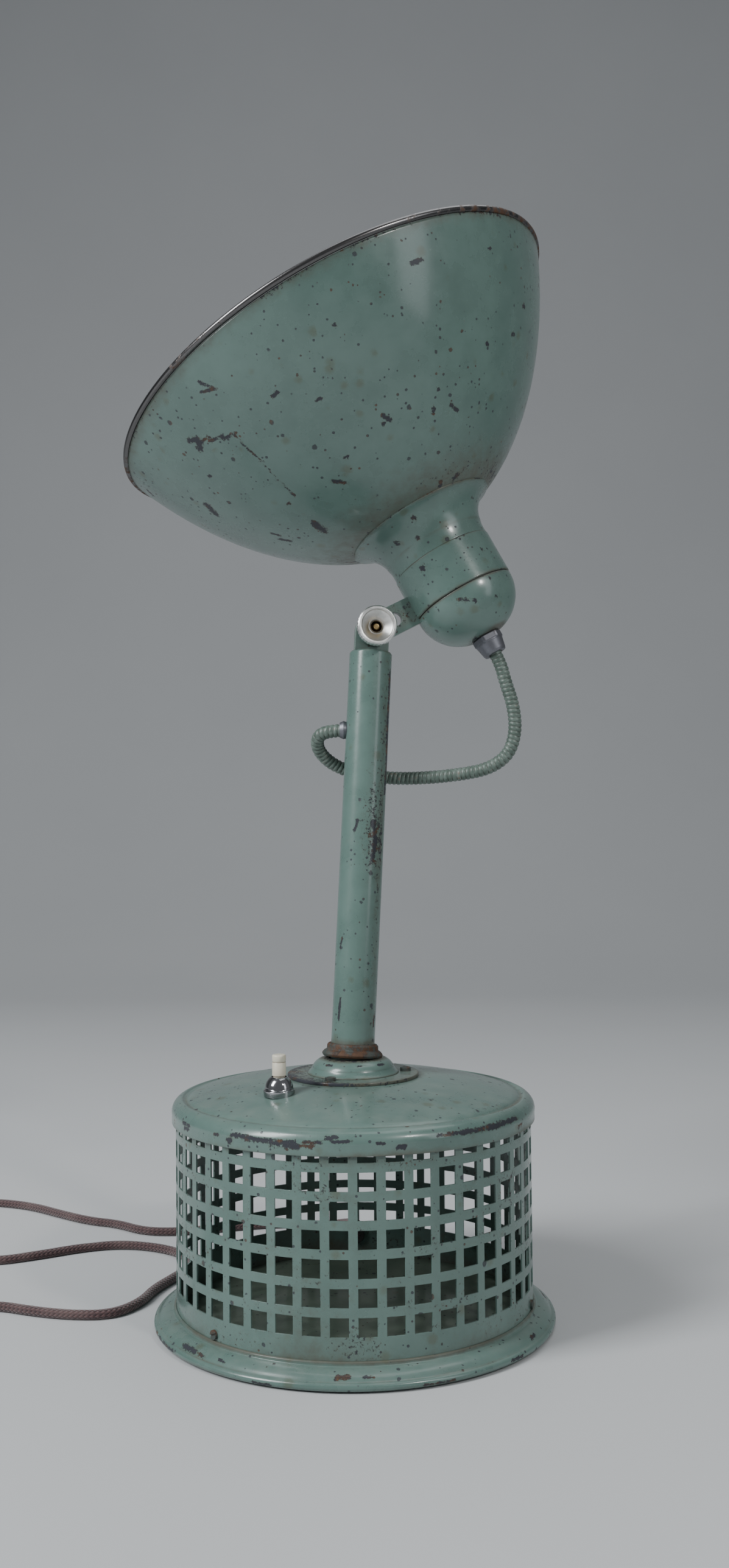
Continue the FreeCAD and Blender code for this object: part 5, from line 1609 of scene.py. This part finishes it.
CAMERA_AT = (0.008336, -0.845816, 0.288292)
CAMERA_PITCH, CAMERA_ROLL = -1.851, -0.513      # degrees; a negative pitch looks up
CAMERA_LENS = 32.34                             # millimetres, on a sensor 36 mm high
SKY_COLOUR, SKY_STRENGTH = (0.80, 0.84, 0.88, 1), 0.22
LIGHTS = (
    # name, place, target, width and height, watts, colour
    ("window_left", (-1.5, -0.9, 1.5), (0, 0, 0.35), (0.6, 1.3), 52, (0.96, 0.98, 1.0)),
    ("lamp_right", (0.75, -0.95, 1.0), (0, 0, 0.35), (0.12, 0.12), 5, (1.0, 0.98, 0.96)),
    ("fill_right", (1.6, -1.2, 0.9), (0, 0, 0.3), (0.5, 1.4), 5, (0.92, 0.96, 1.0)),
    ("top_soft", (0.2, 0.3, 2.0), (0, 0, 0.2), (1.4, 1.4), 12, (0.95, 0.98, 1.0)))


class LAMP_OT_stage(bpy.types.Operator):
    """Floor that curves up behind the lamp, soft lights and camera"""
    bl_idname = "lamp.stage"
    bl_label = "Stage"

    def execute(self, context):
        curve = [(-20.0, 0.0), (1.6, 0.0)]
        curve += [(1.6 + 1.4 * math.sin(a), 1.4 - 1.4 * math.cos(a)) for a in np.radians(np.arange(6, 91, 6))]
        curve.append((3.0, 9.0))
        points = [(x, y, z) for y, z in curve for x in (-25.0, 25.0)]
        faces = [(2 * k, 2 * k + 1, 2 * k + 3, 2 * k + 2) for k in range(len(curve) - 1)]
        mesh = bpy.data.meshes.new("floor")
        mesh.from_pydata(points, [], faces)
        mesh.polygons.foreach_set("use_smooth", np.ones(len(faces), bool))
        mesh.materials.append(bpy.data.materials["studio_floor"])
        floor = bpy.data.objects.new("floor", mesh)
        context.scene.collection.objects.link(floor)
        world = bpy.data.worlds.new("studio")
        world.use_nodes = True
        world.node_tree.nodes["Background"].inputs[0].default_value = SKY_COLOUR
        world.node_tree.nodes["Background"].inputs[1].default_value = SKY_STRENGTH
        context.scene.world = world
        for light in LIGHTS:
            area_light(*light)
        self.camera(context)
        return {"FINISHED"}

    def camera(self, context):
        """Level with the middle of the lamp, looking slightly up, with a trace of roll."""
        data = bpy.data.cameras.new("view")
        data.sensor_fit = "VERTICAL"
        data.sensor_height = 36.0
        data.lens = CAMERA_LENS
        data.clip_start = 0.01
        camera = bpy.data.objects.new("view", data)
        context.scene.collection.objects.link(camera)
        pitch, roll = math.radians(CAMERA_PITCH), math.radians(CAMERA_ROLL)
        forward = np.array((0.0, math.cos(pitch), -math.sin(pitch)))
        level_up = np.array((0.0, math.sin(pitch), math.cos(pitch)))
        right = math.cos(roll) * np.array((1.0, 0.0, 0.0)) + math.sin(roll) * level_up
        up = np.cross(right, forward)
        matrix = placing(CAMERA_AT, right, up, -forward)
        camera.matrix_world = Matrix(matrix.tolist())
        context.scene.camera = camera


# ---------------------------------------------------------------- panel and registration
OPERATORS = (
    LAMP_OT_materials, LAMP_OT_skirt, LAMP_OT_drum, LAMP_OT_cover, LAMP_OT_switch, LAMP_OT_hub, LAMP_OT_post,
    LAMP_OT_pivot, LAMP_OT_bowl, LAMP_OT_neck, LAMP_OT_bulb, LAMP_OT_conduit, LAMP_OT_cord, LAMP_OT_stage)


class LAMP_PT_panel(bpy.types.Panel):
    bl_idname = "LAMP_PT_panel"
    bl_label = "Reflector lamp"
    bl_space_type = "VIEW_3D"
    bl_region_type = "UI"
    bl_category = "Lamp"

    def draw(self, context):
        column = self.layout.column()
        for settings in (context.scene.lamp_sheet, context.scene.lamp_hose, context.scene.lamp_wear):
            for key in settings.bl_rna.properties.keys():
                if key not in ("rna_type", "name"):
                    column.prop(settings, key)
        for operator in OPERATORS:
            column.operator(operator.bl_idname)


CLASSES = (LampSheetSettings, LampHoseSettings, LampWearSettings, *OPERATORS, LAMP_PT_panel)


def register():
    for item in CLASSES:
        bpy.utils.register_class(item)
    bpy.types.Scene.lamp_sheet = bpy.props.PointerProperty(type=LampSheetSettings)
    bpy.types.Scene.lamp_hose = bpy.props.PointerProperty(type=LampHoseSettings)
    bpy.types.Scene.lamp_wear = bpy.props.PointerProperty(type=LampWearSettings)


def unregister():
    del bpy.types.Scene.lamp_sheet
    del bpy.types.Scene.lamp_hose
    del bpy.types.Scene.lamp_wear
    for item in reversed(CLASSES):
        bpy.utils.unregister_class(item)


def main():
    register()
    for name in ("materials", "skirt", "drum", "cover", "switch", "hub", "post", "pivot", "bowl", "neck",
                 "bulb",
                 "conduit", "cord", "stage"):
        getattr(bpy.ops.lamp, name)()


if __name__ == "__main__":
    main()
